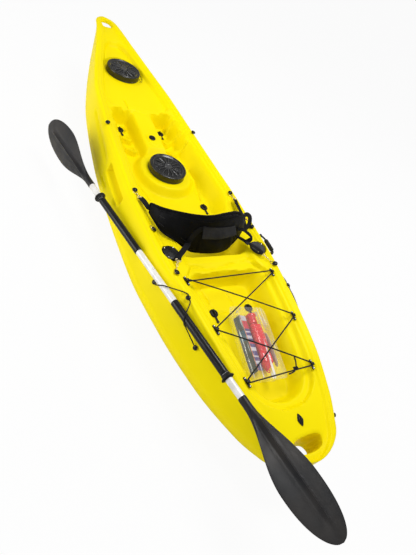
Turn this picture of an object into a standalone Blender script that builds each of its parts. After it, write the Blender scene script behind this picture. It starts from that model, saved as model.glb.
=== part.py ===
"""Sit-on-top fishing kayak with its seat, fittings, stowed kit and split paddle.

Metres, +Z up, +X to the bow, +Y to port. The origin lies on the keel's flat
bottom, halfway along the hull.
"""

import math

import bmesh
import bpy
import numpy as np
from mathutils import Matrix, Vector
from mathutils.bvhtree import BVHTree

# Hull
LENGTH = 2.90
BEAM = 0.78
DEPTH = 0.30
WALL = 0.006
FIT_GAP = 0.0003
BAND_WIDTH = 0.050
EDGE_DROP = 0.010
SIDE_FLARE = 0.85
SIDE_FALL = 1.15
KEEL_FLAT = 0.30
TUNNEL_Y = 0.185
TUNNEL_DEPTH = 0.014
BOW_ROUND = 0.060
STERN_ROUND = 0.090

# Moulded wells, measured along the hull and up from the keel
RECESS_AFT_X = 0.597
RECESS_FORE_X = 1.200
RECESS_AFT_Z = 0.286
RECESS_FORE_Z = 0.352
COCKPIT_AFT_X = -0.500
COCKPIT_FLOOR_Z = 0.200
COCKPIT_NARROWING = 0.062
PIT_WALL = 0.30
CONSOLE_HALF = 0.050
CONSOLE_BASE_HALF = 0.090
CONSOLE_AFT_Z = 0.258
CONSOLE_Z = 0.280
RIB_FIRST_X = 0.323
RIB_PITCH = 0.091
RIB_COUNT = 3
RIB_HEIGHT = 0.014
BENCH_Z = 0.274
TANK_FORE_X = -0.525
TANK_AFT_X = -1.247
TANK_LEDGE_DROP = 0.035
TANK_FLOOR_Z = 0.183
SIDE_SLOT_X = 0.000
SIDE_SLOT_LENGTH = 0.30
SIDE_SLOT_DEPTH = 0.022
SIDE_AIM_Z = 0.240

# Handles moulded through the ends
BOW_HOLE_AFT_X = 1.335
BOW_HOLE_FORE_X = 1.405
BOW_HOLE_HALF = 0.030
BOW_HOLE_TAPER = 0.62
STERN_HOLE_FORE_X = -1.350
STERN_HOLE_AFT_X = -1.412
STERN_HOLE_HALF = 0.080
STERN_HOLE_TAPER = 0.80

# Hatches
LID_RADIUS = 0.104
LID_HEIGHT = 0.036
LID_WALL = 0.004
LID_RIM_RISE = 0.003
LID_RIB_RISE = 0.0018
LID_RIB_COUNT = 16
HATCH_BORE = 0.084
RIM_FLANGE = 0.0985
RIM_THICK = 0.004
SEAL_WIRE = 0.0030
FRONT_HATCH_X = 0.953
FRONT_HATCH_Z = 0.306
FRONT_COLLAR = 0.117
MID_HATCH_X = 0.140
MID_HATCH_Z = 0.239
MID_COLLAR = 0.134

# Scuppers: one pair in the footwells, one beside the seat, one in the tank well
SCUPPER_BORE = 0.017
SCUPPER_TUBE = 0.026
SCUPPER_PLACES = {"foot": (0.522, 0.130), "seat": (-0.095, 0.150), "tank": (-0.737, 0.100)}
PLUG_HEAD = 0.021

# Deck fittings
BUTTON_HEAD = 0.0125
BUTTON_PLACE = (0.414, 0.266)
EYE_PLACES = {"fore": (-0.080, 0.284), "mid": (-0.335, 0.288), "aft": (-0.588, 0.280)}
RING_WIRE = 0.0013
RING_LIFT = 0.0040
ROD_PLACE = (-0.468, 0.251)
ROD_DECK_Z = 0.288
ROD_FLANGE = 0.043
ROD_FLANGE_THICK = 0.003
ROD_TUBE = 0.027
ROD_BORE = 0.0235
ROD_TUBE_LENGTH = 0.170
ROD_LEAN = math.radians(18)
ROD_CAP_THICK = 0.006
TANK_HOOKS = ((-0.627, 0.242), (-0.874, 0.215), (-1.105, 0.178))
HOOK_MOUTH = 0.0028
BUNGEE_RADIUS = 0.0030
CROSS_LIFT = 0.0042
CONSOLE_PLUG_X = 0.384
CONSOLE_PLUG_RADIUS = 0.019
DRAIN_X = -1.292
DRAIN_BORE = 0.009
HANDLE_AXIS = (-0.435, -0.338, 0.276)
HANDLE_LENGTH = 0.120
HANDLE_REACH = (-0.026, -0.010)
HANDLE_GRIP = 0.0105
KEEPER_FORE = (-0.573, 0.364)
KEEPER_TOP = (-0.717, 0.279)
KEEPER_AFT = (-0.905, 0.303)
KEEPER_RADIUS = 0.0024
KEEPER_LIFT = 0.0042

# Seat back and its webbing
SEAT_UPPER = (
    (-0.205, 0.262, 0.336), (-0.278, 0.240, 0.378), (-0.345, 0.188, 0.418),
    (-0.383, 0.125, 0.441), (-0.392, 0.060, 0.449), (-0.376, -0.020, 0.449),
    (-0.353, -0.100, 0.433), (-0.334, -0.170, 0.395), (-0.290, -0.228, 0.344),
)
SEAT_LOWER = (
    (-0.235, 0.268, 0.303), (-0.345, 0.250, 0.299), (-0.402, 0.195, 0.290),
    (-0.428, 0.115, 0.246), (-0.438, 0.030, 0.239), (-0.436, -0.060, 0.241),
    (-0.408, -0.140, 0.262), (-0.362, -0.202, 0.298), (-0.300, -0.248, 0.305),
)
SEAT_THICK = 0.024
SEAT_RINGS = 24
SEAT_LEVELS = (0.0, 0.08, 0.26, 0.46, 0.64, 0.90, 1.0)
POCKET_STATIONS = (12, 17)
POCKET_DEPTH = 0.020
POCKET_SWELL = (0.60, 1.0, 0.85, 0.25)
STRAP_WIDTH = 0.026
STRAP_THICK = 0.0016
STRAP_ARCH = 0.008
REAR_STRAP_AT = {1: 0.33, -1: 0.77}
REAR_STRAP_RISE = 0.22
CLIP_RUNS = (("aft", (-0.524, 0.244, 0.309)), ("fore", (-0.138, 0.280, 0.307)))

# Paddle
PADDLE_MIDDLE = (-0.5655, 0.352, 0.2665)
PADDLE_YAW = 0.142
PADDLE_PITCH = -0.092
SHAFT_RADIUS = 0.0148
SHAFT_WALL = 0.0014
SHAFT_SIDES = 12
GRIP_RADIUS = 0.0172
GRIP_START = 0.147
GRIP_END = 0.505
DRIP_RING_AT = 0.518
SPIGOT_LENGTH = 0.060
BUTTON_AT = 0.030
SPRING_BUTTON = 0.0035
SPRING_BUTTON_PROUD = 0.0025
BLADE_START = 0.612
BLADE_TIP = 1.136
BLADE_WIDTH = 0.184
BLADE_THICK = 0.0045
NECK_RADIUS = 0.0166
SPINE_RISE = 0.007
SPOON = 0.010
AFT_BLADE_ROLL = math.radians(0)
FORE_BLADE_ROLL = math.radians(-80)

# Safety kit
KIT_PLACE = (-0.950, 0.000, 0.222)
KIT_TURN = -0.197
KIT_BASE = (0.285, 0.130)
KIT_TOP = (0.320, 0.185)
KIT_HEIGHT = 0.062
KIT_WALL = 0.0012
BAILER_SECTIONS = (
    (-0.128, 0.020, 0.030), (-0.100, 0.027, 0.044), (0.020, 0.027, 0.048), (0.085, 0.024, 0.046),
)

# Lines plan: shares of half the length, of the beam and of the depth
STATIONS = (1.0, 0.97, 0.94, 0.80, 0.66, 0.50, 0.30, 0.10, -0.10, -0.30, -0.50, -0.70, -0.85, -0.95, -1.0)
RIDGE_BREADTH = (
    0.062, 0.074, 0.087, 0.159, 0.238, 0.313, 0.353, 0.381,
    0.404, 0.399, 0.363, 0.317, 0.264, 0.196, 0.160,
)
BILGE_BREADTH = (
    0.050, 0.062, 0.076, 0.167, 0.253, 0.337, 0.406, 0.458,
    0.488, 0.500, 0.464, 0.390, 0.301, 0.224, 0.176,
)
RIDGE_RISE = (
    1.350, 1.367, 1.370, 1.287, 1.177, 1.083, 1.030, 1.003,
    0.990, 1.007, 1.027, 0.990, 0.890, 0.815, 0.780,
)
BILGE_RISE = (
    1.315, 1.250, 1.140, 0.880, 0.733, 0.650, 0.600, 0.567,
    0.567, 0.567, 0.567, 0.570, 0.590, 0.640, 0.680,
)
KEEL_RISE = (
    1.270, 1.200, 1.030, 0.380, 0.150, 0.040, 0.0, 0.0,
    0.0, 0.0, 0.0, 0.020, 0.110, 0.330, 0.560,
)

HALF = LENGTH / 2
SIDES = (("port", 1), ("starboard", -1))
HATCHES = (
    ("front", FRONT_HATCH_X, FRONT_HATCH_Z, FRONT_COLLAR, 0.012),
    ("mid", MID_HATCH_X, MID_HATCH_Z, MID_COLLAR, 0.045),
)


def smooth(low, high, value):
    """Rises from 0 at low to 1 at high with no corner at either end."""
    share = np.clip((value - low) / (high - low), 0.0, 1.0)
    return share * share * (3 - 2 * share)


def fair(values, x):
    """A fair curve through the hull's stations, with no overshoot between them."""
    at = np.array(STATIONS[::-1])
    height = np.array(values[::-1])
    run = np.diff(at)
    slope = np.diff(height) / run
    bend = slope[:-1] * slope[1:]
    mean = np.where(bend > 0, 2 * bend / np.where(bend > 0, slope[:-1] + slope[1:], 1), 0)
    tangent = np.concatenate([slope[:1], mean, slope[-1:]])
    share = np.clip(np.asarray(x, float) / HALF, -1, 1)
    k = np.clip(np.searchsorted(at, share) - 1, 0, len(run) - 1)
    u = (share - at[k]) / run[k]
    return (
        (1 + 2 * u) * (1 - u) ** 2 * height[k]
        + u * (1 - u) ** 2 * run[k] * tangent[k]
        + u * u * (3 - 2 * u) * height[k + 1]
        + u * u * (u - 1) * run[k] * tangent[k + 1]
    )


def end_closing(x):
    """Draws the plan in to a round at the bow and at the stern."""
    bow = np.clip((x - (HALF - BOW_ROUND)) / BOW_ROUND, 0, 1)
    stern = np.clip((-x - (HALF - STERN_ROUND)) / STERN_ROUND, 0, 1)
    return np.sqrt(np.clip(1 - bow**2 - stern**2, 0, 1))


def ridge_half(x):
    return BEAM * fair(RIDGE_BREADTH, x) * end_closing(x)


def ridge_height(x):
    return DEPTH * fair(RIDGE_RISE, x)


def bilge_half(x):
    return BEAM * fair(BILGE_BREADTH, x) * end_closing(x)


def bilge_height(x):
    return DEPTH * fair(BILGE_RISE, x)


def keel_height(x):
    return DEPTH * fair(KEEL_RISE, x)


def well(x, a, aft, fore, half, wall, aft_wall, fore_wall, corner):
    """1 on a well's floor, 0 outside it, with sloping walls and rounded corners."""
    past = np.clip(np.maximum(x - (fore - corner), (aft + corner) - x) / corner, 0, 1)
    drawn = half * np.sqrt(1 - past**2)
    across = smooth(0, wall, drawn - a)
    return across * smooth(0, aft_wall, x - aft) * smooth(0, fore_wall, fore - x)


def mix(low, high, share):
    return low + (high - low) * share


def foot_ribs(x, a):
    """The saw-tooth foot braces: each steps up, then runs out towards the bow."""
    total = 0
    for rib in range(RIB_COUNT):
        start = RIB_FIRST_X + rib * RIB_PITCH + 0.9 * np.clip(a - 0.15, 0, 1)
        past = x - start
        total = total + smooth(-0.005, 0.005, past) * (1 - smooth(0.005, 0.050, past))
    inside = smooth(CONSOLE_BASE_HALF, CONSOLE_BASE_HALF + 0.015, a)
    return RIB_HEIGHT * total * inside * (1 - smooth(0.215, 0.245, a))


def cockpit_narrowing(x):
    """How much wider the gunwales grow beside the seat, where the rod holders sit."""
    return COCKPIT_NARROWING * smooth(0.05, 0.26, -x)


def deck(x, y):
    """Height of the moulded deck inboard of the gunwale ridge."""
    a = np.abs(y)
    half = ridge_half(x)
    top = ridge_height(x)
    edge = half - a
    z = top - EDGE_DROP * (1 - smooth(0, 0.014, edge)) - 0.013 * smooth(0.030, BAND_WIDTH, edge)
    inner = half - BAND_WIDTH
    run = (x - RECESS_AFT_X) / (RECESS_FORE_X - RECESS_AFT_X)
    recess_z = mix(RECESS_AFT_Z, RECESS_FORE_Z, np.clip(run, 0, 1) ** 1.3)
    recess = well(x, a, RECESS_AFT_X - 0.02, RECESS_FORE_X, inner, 0.020, 0.01, 0.030, 0.080)
    z = mix(z, np.minimum(z, recess_z), recess)
    pit_half = inner - cockpit_narrowing(x)
    pit = well(x, a, COCKPIT_AFT_X, RECESS_AFT_X, pit_half, PIT_WALL * pit_half, 0.055, 0.030, 0.025)
    z = mix(z, COCKPIT_FLOOR_Z, pit) + foot_ribs(x, a) * pit
    hump = 1 - smooth(CONSOLE_HALF, CONSOLE_BASE_HALF, a)
    hump = hump * smooth(MID_HATCH_X - 0.02, MID_HATCH_X + 0.06, x) * (x < RECESS_AFT_X + 0.02)
    hump_z = mix(CONSOLE_AFT_Z, CONSOLE_Z, smooth(MID_HATCH_X + 0.10, RECESS_AFT_X, x))
    z = np.maximum(z, mix(z, hump_z, hump))
    bench = well(x, a, TANK_FORE_X - 0.04, COCKPIT_AFT_X + 0.06, 0.205, 0.03, 0.01, 0.05, 0.03)
    z = mix(z, np.minimum(z, BENCH_Z), bench)
    wave = 0.022 * np.exp(-(((a - 0.16) / 0.035) ** 2))
    ledge_z = top - TANK_LEDGE_DROP
    tank_half = inner - 0.004
    ledge = well(x, a, TANK_AFT_X, TANK_FORE_X + wave, tank_half, 0.018, 0.02, 0.014, 0.110)
    z = mix(z, np.minimum(z, ledge_z), ledge)
    floor = well(
        x, a, TANK_AFT_X + 0.03, TANK_FORE_X - 0.022 + wave,
        tank_half - 0.030, 0.065, 0.045, 0.035, 0.100,
    )
    z = mix(z, TANK_FLOOR_Z, floor)
    for _, hatch_x, hatch_z, collar, skirt in HATCHES:
        away = np.hypot(x - hatch_x, a)
        z = mix(z, hatch_z, 1 - smooth(collar, collar + skirt, away))
    return z


def side_slot(x, share):
    """Depth of the long recess moulded in each side, under the gunwale."""
    along = smooth(0, 0.03, SIDE_SLOT_LENGTH / 2 - np.abs(x - SIDE_SLOT_X))
    return SIDE_SLOT_DEPTH * along * smooth(0.14, 0.28, share) * (1 - smooth(0.55, 0.70, share))


def side_point(x, share):
    """A point of the hull's side, from the ridge at share 0 to the bilge at 1."""
    low = bilge_height(x)
    high = ridge_height(x) - EDGE_DROP
    y = mix(ridge_half(x), bilge_half(x), share**SIDE_FLARE) - side_slot(x, share)
    return y, mix(high, low, share**SIDE_FALL)


def bottom(x, a):
    """Height of the hull's underside, with a flat keel strip and two shallow tunnels."""
    half = np.maximum(bilge_half(x), 1e-4)
    share = np.clip((np.clip(a / half, 0, 1) - KEEL_FLAT) / (1 - KEEL_FLAT), 0, 1)
    rise = 1 - (1 - share**2.4) ** (1 / 2.4)
    tunnel = TUNNEL_DEPTH * np.exp(-(((a - TUNNEL_Y) / 0.025) ** 2))
    tunnel = tunnel * (1 - smooth(0.40, 0.62, np.abs(x) / HALF))
    return mix(keel_height(x), bilge_height(x), rise) + tunnel


def upper(x, a):
    """Top of the hull at any breadth, taken low where the side slot is."""
    inner = ridge_half(x)
    outer = bilge_half(x)
    deep = SIDE_SLOT_DEPTH * (np.abs(x - SIDE_SLOT_X) < SIDE_SLOT_LENGTH / 2)
    share = np.clip((a + deep - inner) / np.maximum(outer - inner, 1e-4), 0, 1) ** (1 / SIDE_FLARE)
    side = mix(ridge_height(x) - EDGE_DROP, bilge_height(x), share**SIDE_FALL)
    return np.where(a <= inner, np.minimum(deck(x, np.minimum(a, inner)), side), side)


def clear_scene():
    for item in list(bpy.data.objects):
        bpy.data.objects.remove(item, do_unlink=True)


def material(name, colour, roughness, metallic=0.0):
    made = bpy.data.materials.new(name)
    made.use_nodes = True
    shader = made.node_tree.nodes["Principled BSDF"]
    shader.inputs["Base Color"].default_value = (*colour, 1)
    shader.inputs["Roughness"].default_value = roughness
    shader.inputs["Metallic"].default_value = metallic
    return made


def finish(name, bm, look, sharp=40):
    """Turns a bmesh into a named object with its material and smooth shading."""
    bmesh.ops.recalc_face_normals(bm, faces=bm.faces)
    mesh = bpy.data.meshes.new(name)
    bm.to_mesh(mesh)
    bm.free()
    mesh.shade_smooth()
    mesh.set_sharp_from_angle(angle=math.radians(sharp))
    item = bpy.data.objects.new(name, mesh)
    bpy.context.scene.collection.objects.link(item)
    if look:
        mesh.materials.append(look)
    return item


def helper(item):
    """Marks an object as a cutter or a guide."""
    item.hide_render = True
    item.display_type = "WIRE"
    return item


def moved(item, place):
    item.data.transform(place)
    return item


def turned(name, profile, look, steps=24, place=None):
    """Turns a profile of (radius, height) points about Z."""
    bm = bmesh.new()
    points = [bm.verts.new((r, 0, z)) for r, z in profile]
    pairs = list(zip(points, points[1:]))
    if profile[0][0] > 0 and profile[-1][0] > 0:
        pairs.append((points[-1], points[0]))
    edges = [bm.edges.new(pair) for pair in pairs]
    bmesh.ops.spin(
        bm, geom=points + edges, cent=(0, 0, 0), axis=(0, 0, 1), dvec=(0, 0, 0),
        angle=2 * math.pi, steps=steps, use_merge=True,
    )
    bmesh.ops.remove_doubles(bm, verts=bm.verts, dist=1e-6)
    item = finish(name, bm, look)
    return item if place is None else moved(item, place)


def skinned(name, rings, look, sharp=40, looped=False):
    """Skins closed rings of points, in order, and caps both ends or joins them."""
    bm = bmesh.new()
    loops = [[bm.verts.new(p) for p in ring] for ring in rings]
    count = len(loops[0])
    pairs = list(zip(loops, loops[1:]))
    if looped:
        pairs.append((loops[-1], loops[0]))
    for near, far in pairs:
        for i in range(count):
            j = (i + 1) % count
            bm.faces.new((near[i], near[j], far[j], far[i]))
    if not looped:
        bm.faces.new(loops[0])
        bm.faces.new(loops[-1][::-1])
    return finish(name, bm, look, sharp)


def tube(name, path, radius, look, sides=6, looped=False):
    """A round bar along a path of points."""
    path = [Vector(p) for p in path]
    rings = []
    across = None
    for i, point in enumerate(path):
        after = path[(i + 1) % len(path)] if looped or i + 1 < len(path) else point
        before = path[i - 1] if looped or i else point
        along = (after - before).normalized()
        if across is None:
            across = along.orthogonal().normalized()
        across = (across - along * across.dot(along)).normalized()
        up = along.cross(across)
        turns = [2 * math.pi * k / sides for k in range(sides)]
        rings.append([point + radius * (across * math.cos(t) + up * math.sin(t)) for t in turns])
    return skinned(name, rings, look, 50, looped)


def ribbon(name, path, facing, width, look):
    """A flat strap along a path; facing is the way its broad side looks."""
    rings = []
    for i, point in enumerate(path):
        along = (Vector(path[min(i + 1, len(path) - 1)]) - Vector(path[max(i - 1, 0)])).normalized()
        out = Vector(facing) - along * Vector(facing).dot(along)
        out.normalize()
        across = along.cross(out) * width / 2
        out = out * STRAP_THICK / 2
        rings.append([Vector(point) + a for a in (across + out, out - across, -across - out, across - out)])
    return skinned(name, rings, look)


def cord(name, path, radius, look):
    """A cord as a tube curve with capped ends."""
    curve = bpy.data.curves.new(name, "CURVE")
    curve.dimensions = "3D"
    curve.bevel_depth = radius
    curve.bevel_resolution = 2
    curve.use_fill_caps = True
    spline = curve.splines.new("POLY")
    spline.points.add(len(path) - 1)
    for point, place in zip(spline.points, path):
        point.co = (*place, 1)
    curve.materials.append(look)
    item = bpy.data.objects.new(name, curve)
    bpy.context.scene.collection.objects.link(item)
    return item


def boolean(target, other, operation="DIFFERENCE"):
    step = target.modifiers.new(other.name, "BOOLEAN")
    step.object = other
    step.operation = operation
    step.solver = "EXACT"


def settled(item):
    """Applies an object's modifiers to its mesh."""
    bpy.context.view_layer.update()
    graph = bpy.context.evaluated_depsgraph_get()
    mesh = bpy.data.meshes.new_from_object(item.evaluated_get(graph))
    item.modifiers.clear()
    item.data = mesh
    return item


def welded(name, parts, look):
    """Joins overlapping closed parts into one solid."""
    first = parts[0]
    for other in parts[1:]:
        boolean(first, other, "UNION")
    settled(first)
    for other in parts[1:]:
        bpy.data.objects.remove(other, do_unlink=True)
    first.name = name
    first.data.materials.clear()
    first.data.materials.append(look)
    return first


def cylinder(name, radius, low, high, place=None, steps=24):
    bm = bmesh.new()
    bmesh.ops.create_cone(
        bm, cap_ends=True, segments=steps, radius1=radius, radius2=radius, depth=high - low
    )
    bmesh.ops.translate(bm, vec=(0, 0, (high + low) / 2), verts=bm.verts)
    item = finish(name, bm, None)
    return item if place is None else moved(item, place)


def block(name, size, centre, look=None):
    bm = bmesh.new()
    bmesh.ops.create_cube(bm, size=1)
    bmesh.ops.scale(bm, vec=size, verts=bm.verts)
    bmesh.ops.translate(bm, vec=centre, verts=bm.verts)
    return finish(name, bm, look)


def at(x, y, z=0.0):
    return Matrix.Translation((x, y, z))


def joined(name, items):
    """Puts separate closed cutters that don't touch into one object."""
    bm = bmesh.new()
    for item in items:
        bm.from_mesh(item.data)
        bpy.data.objects.remove(item, do_unlink=True)
    return helper(finish(name, bm, None))


def hull_stations():
    """Section places: closer together where a well begins or ends."""
    places = list(np.linspace(-HALF + 0.34, HALF - 0.24, 27))
    places += [HALF - d for d in (0.002, 0.014, 0.038, 0.080, 0.125, 0.175)]
    places += [-HALF + d for d in (0.003, 0.020, 0.055, 0.100, 0.160, 0.230)]
    places += [RECESS_FORE_X, RECESS_FORE_X - 0.03, RECESS_AFT_X + 0.004, RECESS_AFT_X - 0.012]
    places += [RECESS_AFT_X - 0.030, COCKPIT_AFT_X, COCKPIT_AFT_X + 0.10]
    places += [TANK_FORE_X + d for d in (0.022, 0.006, -0.018, -0.050)]
    places += [TANK_AFT_X + d for d in (-0.004, 0.02, 0.045, 0.075)]
    for rib in range(RIB_COUNT):
        start = RIB_FIRST_X + rib * RIB_PITCH
        places += [start - 0.006, start + 0.006]
    places += [SIDE_SLOT_X + sign * (SIDE_SLOT_LENGTH / 2 + d) for sign in (-1, 1) for d in (0, -0.03)]
    places = sorted(places)
    kept = [places[0]]
    for place in places[1:]:
        if place - kept[-1] > 0.009:
            kept.append(place)
    return kept


def deck_lines(x):
    """Breadths of the long character lines, from the middle out to the ridge."""
    half = float(ridge_half(x))
    inner = half - BAND_WIDTH
    if x < TANK_FORE_X:
        floor = inner - 0.10
    elif x < RECESS_AFT_X:
        inner = inner - float(cockpit_narrowing(x))
        floor = (1 - PIT_WALL) * inner
    else:
        floor = inner - 0.022
    share = float(smooth(0.13, 0.24, half))
    wide = [0, CONSOLE_HALF, CONSOLE_BASE_HALF, max(floor, CONSOLE_BASE_HALF + 0.022)]
    wide += [0.5 * (wide[-1] + inner), inner, 0.5 * (inner + half - 0.02), half - 0.014, half]
    even = [half * i / (len(wide) - 1) for i in range(len(wide))]
    return sorted(mix(e, w, share) for e, w in zip(even, wide))


def hull_ring(x):
    lines = deck_lines(x)
    tops = deck(np.full(len(lines), x), np.array(lines))
    port = [(y, float(z)) for y, z in zip(lines, tops)]
    port += [tuple(map(float, side_point(x, share))) for share in (0.14, 0.30, 0.55, 0.72, 1.0)]
    half = float(bilge_half(x))
    shares = (0.94, 0.80, 0.60, 0.43, KEEL_FLAT)
    port += [(half * share, float(bottom(x, half * share))) for share in shares]
    port.append((0.0, float(keel_height(x))))
    ring = [(x, y, z) for y, z in port]
    ring += [(x, -y, z) for y, z in port[-2:0:-1]]
    return ring


def hollow_rings():
    """The air space inside the hull: every wall is at least WALL thick."""
    step = 0.010
    xs = np.arange(-HALF, HALF + step, step)
    ys = np.arange(0, BEAM / 2 + step, step)
    gx, gy = np.meshgrid(xs, ys, indexing="ij")
    inside = gy < bilge_half(gx) - WALL
    top = np.where(inside, upper(gx, gy), -1.0)
    low = np.where(inside, bottom(gx, gy), 1.0)
    places = np.linspace(-HALF + 0.20, HALF - 0.22, 44)
    reach = int(math.ceil((places[1] - places[0]) / step))
    rings = []
    for place in places:
        i = int(round((place + HALF) / step))
        rows = slice(max(i - reach, 0), i + reach + 1)
        roof = top[rows].min(axis=0)
        ground = low[rows].max(axis=0)
        roof = np.minimum.reduce([roof, np.append(roof[1:], -1.0), np.append(roof[:1], roof[:-1])])
        ground = np.maximum.reduce([ground, np.append(ground[1:], 1.0), np.append(ground[:1], ground[:-1])])
        roof = roof - WALL
        ground = ground + WALL
        shut = np.flatnonzero(roof - ground < 0.016)
        half = max(ys[shut[0]] - 0.012, 0.02) if len(shut) else 0.02
        shares = (0, 0.15, 0.30, 0.44, 0.58, 0.72, 0.86, 1.0)
        upper_side = [(half * s, float(np.interp(half * s, ys, roof))) for s in shares]
        lower_side = [(half * s, float(np.interp(half * s, ys, ground))) for s in (1.0, 0.8, 0.55, 0.3, 0)]
        port = upper_side + lower_side
        ring = [(place, y, z) for y, z in port]
        ring += [(place, -y, z) for y, z in port[-2:0:-1]]
        rings.append(ring)
    return rings


def rod_frame(sign):
    """Frame of a rod holder's tube: Z runs up the bore from the deck."""
    x, y = ROD_PLACE
    return at(x, sign * y, ROD_DECK_Z) @ Matrix.Rotation(-ROD_LEAN, 4, "Y")


def scupper_places():
    for name, (x, y) in SCUPPER_PLACES.items():
        for side, sign in SIDES:
            yield f"{name}_{side}", x, sign * y


def build_hull(look):
    hull = skinned("hull", [hull_ring(x) for x in hull_stations()], look, 35)
    hollow = helper(skinned("hollow", hollow_rings(), None))
    posts = [
        cylinder("post_" + name, SCUPPER_TUBE, -0.02, 0.34, at(x, y), 12)
        for name, x, y in scupper_places()
    ]
    boolean(hollow, joined("posts", posts))
    settled(hollow)
    collars = []
    clearings = []
    bores = []
    for name, x, z, collar, _ in HATCHES:
        collars.append(cylinder(name + "_collar", collar, z - 0.030, z + 0.001, at(x, 0), 32))
        clearings.append(cylinder(name + "_clearing", LID_RADIUS + 0.008, z, z + 0.10, at(x, 0), 32))
        bores.append(cylinder(name + "_bore", HATCH_BORE, z - 0.06, z + 0.01, at(x, 0), 24))
    for side, sign in SIDES:
        seat = at(ROD_PLACE[0], sign * ROD_PLACE[1], ROD_DECK_Z)
        clearings.append(cylinder(side + "_rod_seat", ROD_FLANGE + 0.001, 0, 0.03, seat, 24))
        bores.append(cylinder(side + "_rod_bore", ROD_TUBE + 0.0006, -0.10, 0.04, rod_frame(sign), 20))
    boolean(hull, joined("collars", collars), "UNION")
    boolean(hull, joined("clearings", clearings))
    boolean(hull, hollow)
    for name, x, y in scupper_places():
        bores.append(cylinder(name + "_bore", SCUPPER_BORE, -0.05, 0.30, at(x, y), 12))
    for name, x, radius in (
        ("console", CONSOLE_PLUG_X, CONSOLE_PLUG_RADIUS - 0.003),
        ("drain", DRAIN_X, DRAIN_BORE),
    ):
        bores.append(cylinder(name + "_bore", radius, -0.03, 0.03, plug_frame(x), 12))
    boolean(hull, joined("bores", bores))
    bow_hole = end_hole("bow_hole", BOW_HOLE_AFT_X, BOW_HOLE_FORE_X, BOW_HOLE_HALF, BOW_HOLE_TAPER)
    stern_hole = end_hole(
        "stern_hole", STERN_HOLE_AFT_X, STERN_HOLE_FORE_X, STERN_HOLE_HALF, STERN_HOLE_TAPER
    )
    boolean(hull, helper(bow_hole))
    boolean(hull, helper(stern_hole))
    settled(hull)
    bm = bmesh.new()
    bm.from_mesh(hull.data)
    bmesh.ops.triangulate(bm, faces=bm.faces)
    bm.to_mesh(hull.data)
    bm.free()
    hull.data.materials.clear()
    hull.data.materials.append(look)
    return hull


def plug_frame(x):
    """Frame on the middle line of the deck, square to its slope."""
    near, far = (float(deck(np.array(x + d), np.array(0.0))) for d in (-0.02, 0.02))
    return at(x, 0, (near + far) / 2) @ Matrix.Rotation(-math.atan2(far - near, 0.04), 4, "Y")


def end_hole(name, aft, fore, half, taper):
    """A cutter with rounded corners that narrows towards its own end of the hull."""
    outer = fore if fore > 0 else aft
    rings = []
    for z in (0.0, 0.60):
        ring = []
        for k in range(16):
            turn = 2 * math.pi * k / 16
            u = math.copysign(abs(math.cos(turn)) ** 0.55, math.cos(turn))
            v = math.copysign(abs(math.sin(turn)) ** 0.55, math.sin(turn))
            x = (aft + fore) / 2 + u * (fore - aft) / 2
            share = abs(x - outer) / (fore - aft)
            ring.append((x, v * half * mix(taper, 1, share), z))
        rings.append(ring)
    return skinned(name, rings, None)


class Skin:
    """The hull's surface, for seating fittings on it."""

    def __init__(self, hull):
        self.mesh = hull.data
        polygons = [tuple(p.vertices) for p in self.mesh.polygons]
        corners_of = [v.co.copy() for v in self.mesh.vertices]
        self.tree = BVHTree.FromPolygons(corners_of, polygons)
        self.edges = [tuple(corners_of[i] for i in edge.vertices) for edge in self.mesh.edges]

    def frame(self, x, y, outward=(0, 0, 1)):
        """Where a line along outward meets the hull, turned to its normal."""
        way = Vector(outward).normalized()
        start = Vector((x, y, ridge_height(x) if outward[2] > 0.9 else SIDE_AIM_Z)) + way * 0.25
        place, normal, _, _ = self.tree.ray_cast(start, -way)
        ahead = (Vector((1, 0, 0)) - normal * normal.x).normalized()
        turn = Matrix((ahead, normal.cross(ahead), normal)).transposed().to_4x4()
        return Matrix.Translation(place) @ turn

    def laid(self, near, far, count, lift):
        """Points of a cord that lies on the hull between two frames on it."""
        points = []
        for k in range(1, count):
            share = k / count
            middle = near.translation.lerp(far.translation, share)
            out = near.col[2].to_3d().lerp(far.col[2].to_3d(), share).normalized()
            place, normal, _, _ = self.tree.ray_cast(middle + out * 0.2, -out)
            points.append(place + (out + normal).normalized() * lift)
        return points

    def seat(self, item, way, gap=None):
        """Slides an item along way until it lies one gap from the hull."""
        gap = FIT_GAP if gap is None else gap
        way = Vector(way).normalized()
        mesh = item.data
        least = 1.0
        spots = [v.co for v in mesh.vertices] + [p.center for p in mesh.polygons]
        for spot in spots:
            hit = self.tree.ray_cast(spot - way * 0.03, way, 0.10)
            if hit[0] is not None:
                least = min(least, (hit[0] - spot).dot(way))
        own = BVHTree.FromPolygons(
            [v.co for v in mesh.vertices], [tuple(p.vertices) for p in mesh.polygons]
        )
        low = Vector(map(min, *(v.co for v in mesh.vertices))) - Vector((0.02, 0.02, 0.02))
        high = Vector(map(max, *(v.co for v in mesh.vertices))) + Vector((0.02, 0.02, 0.02))
        for near, far in self.edges:
            if any(max(n, f) < l or min(n, f) > h for n, f, l, h in zip(near, far, low, high)):
                continue
            count = 2 + int((far - near).length / 0.0015)
            for k in range(count):
                spot = near.lerp(far, k / (count - 1))
                hit = own.ray_cast(spot + way * 0.03, -way, 0.10)
                if hit[0] is not None:
                    least = min(least, (spot - hit[0]).dot(way))
        return moved(item, Matrix.Translation(way * (least - gap)))


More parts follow.
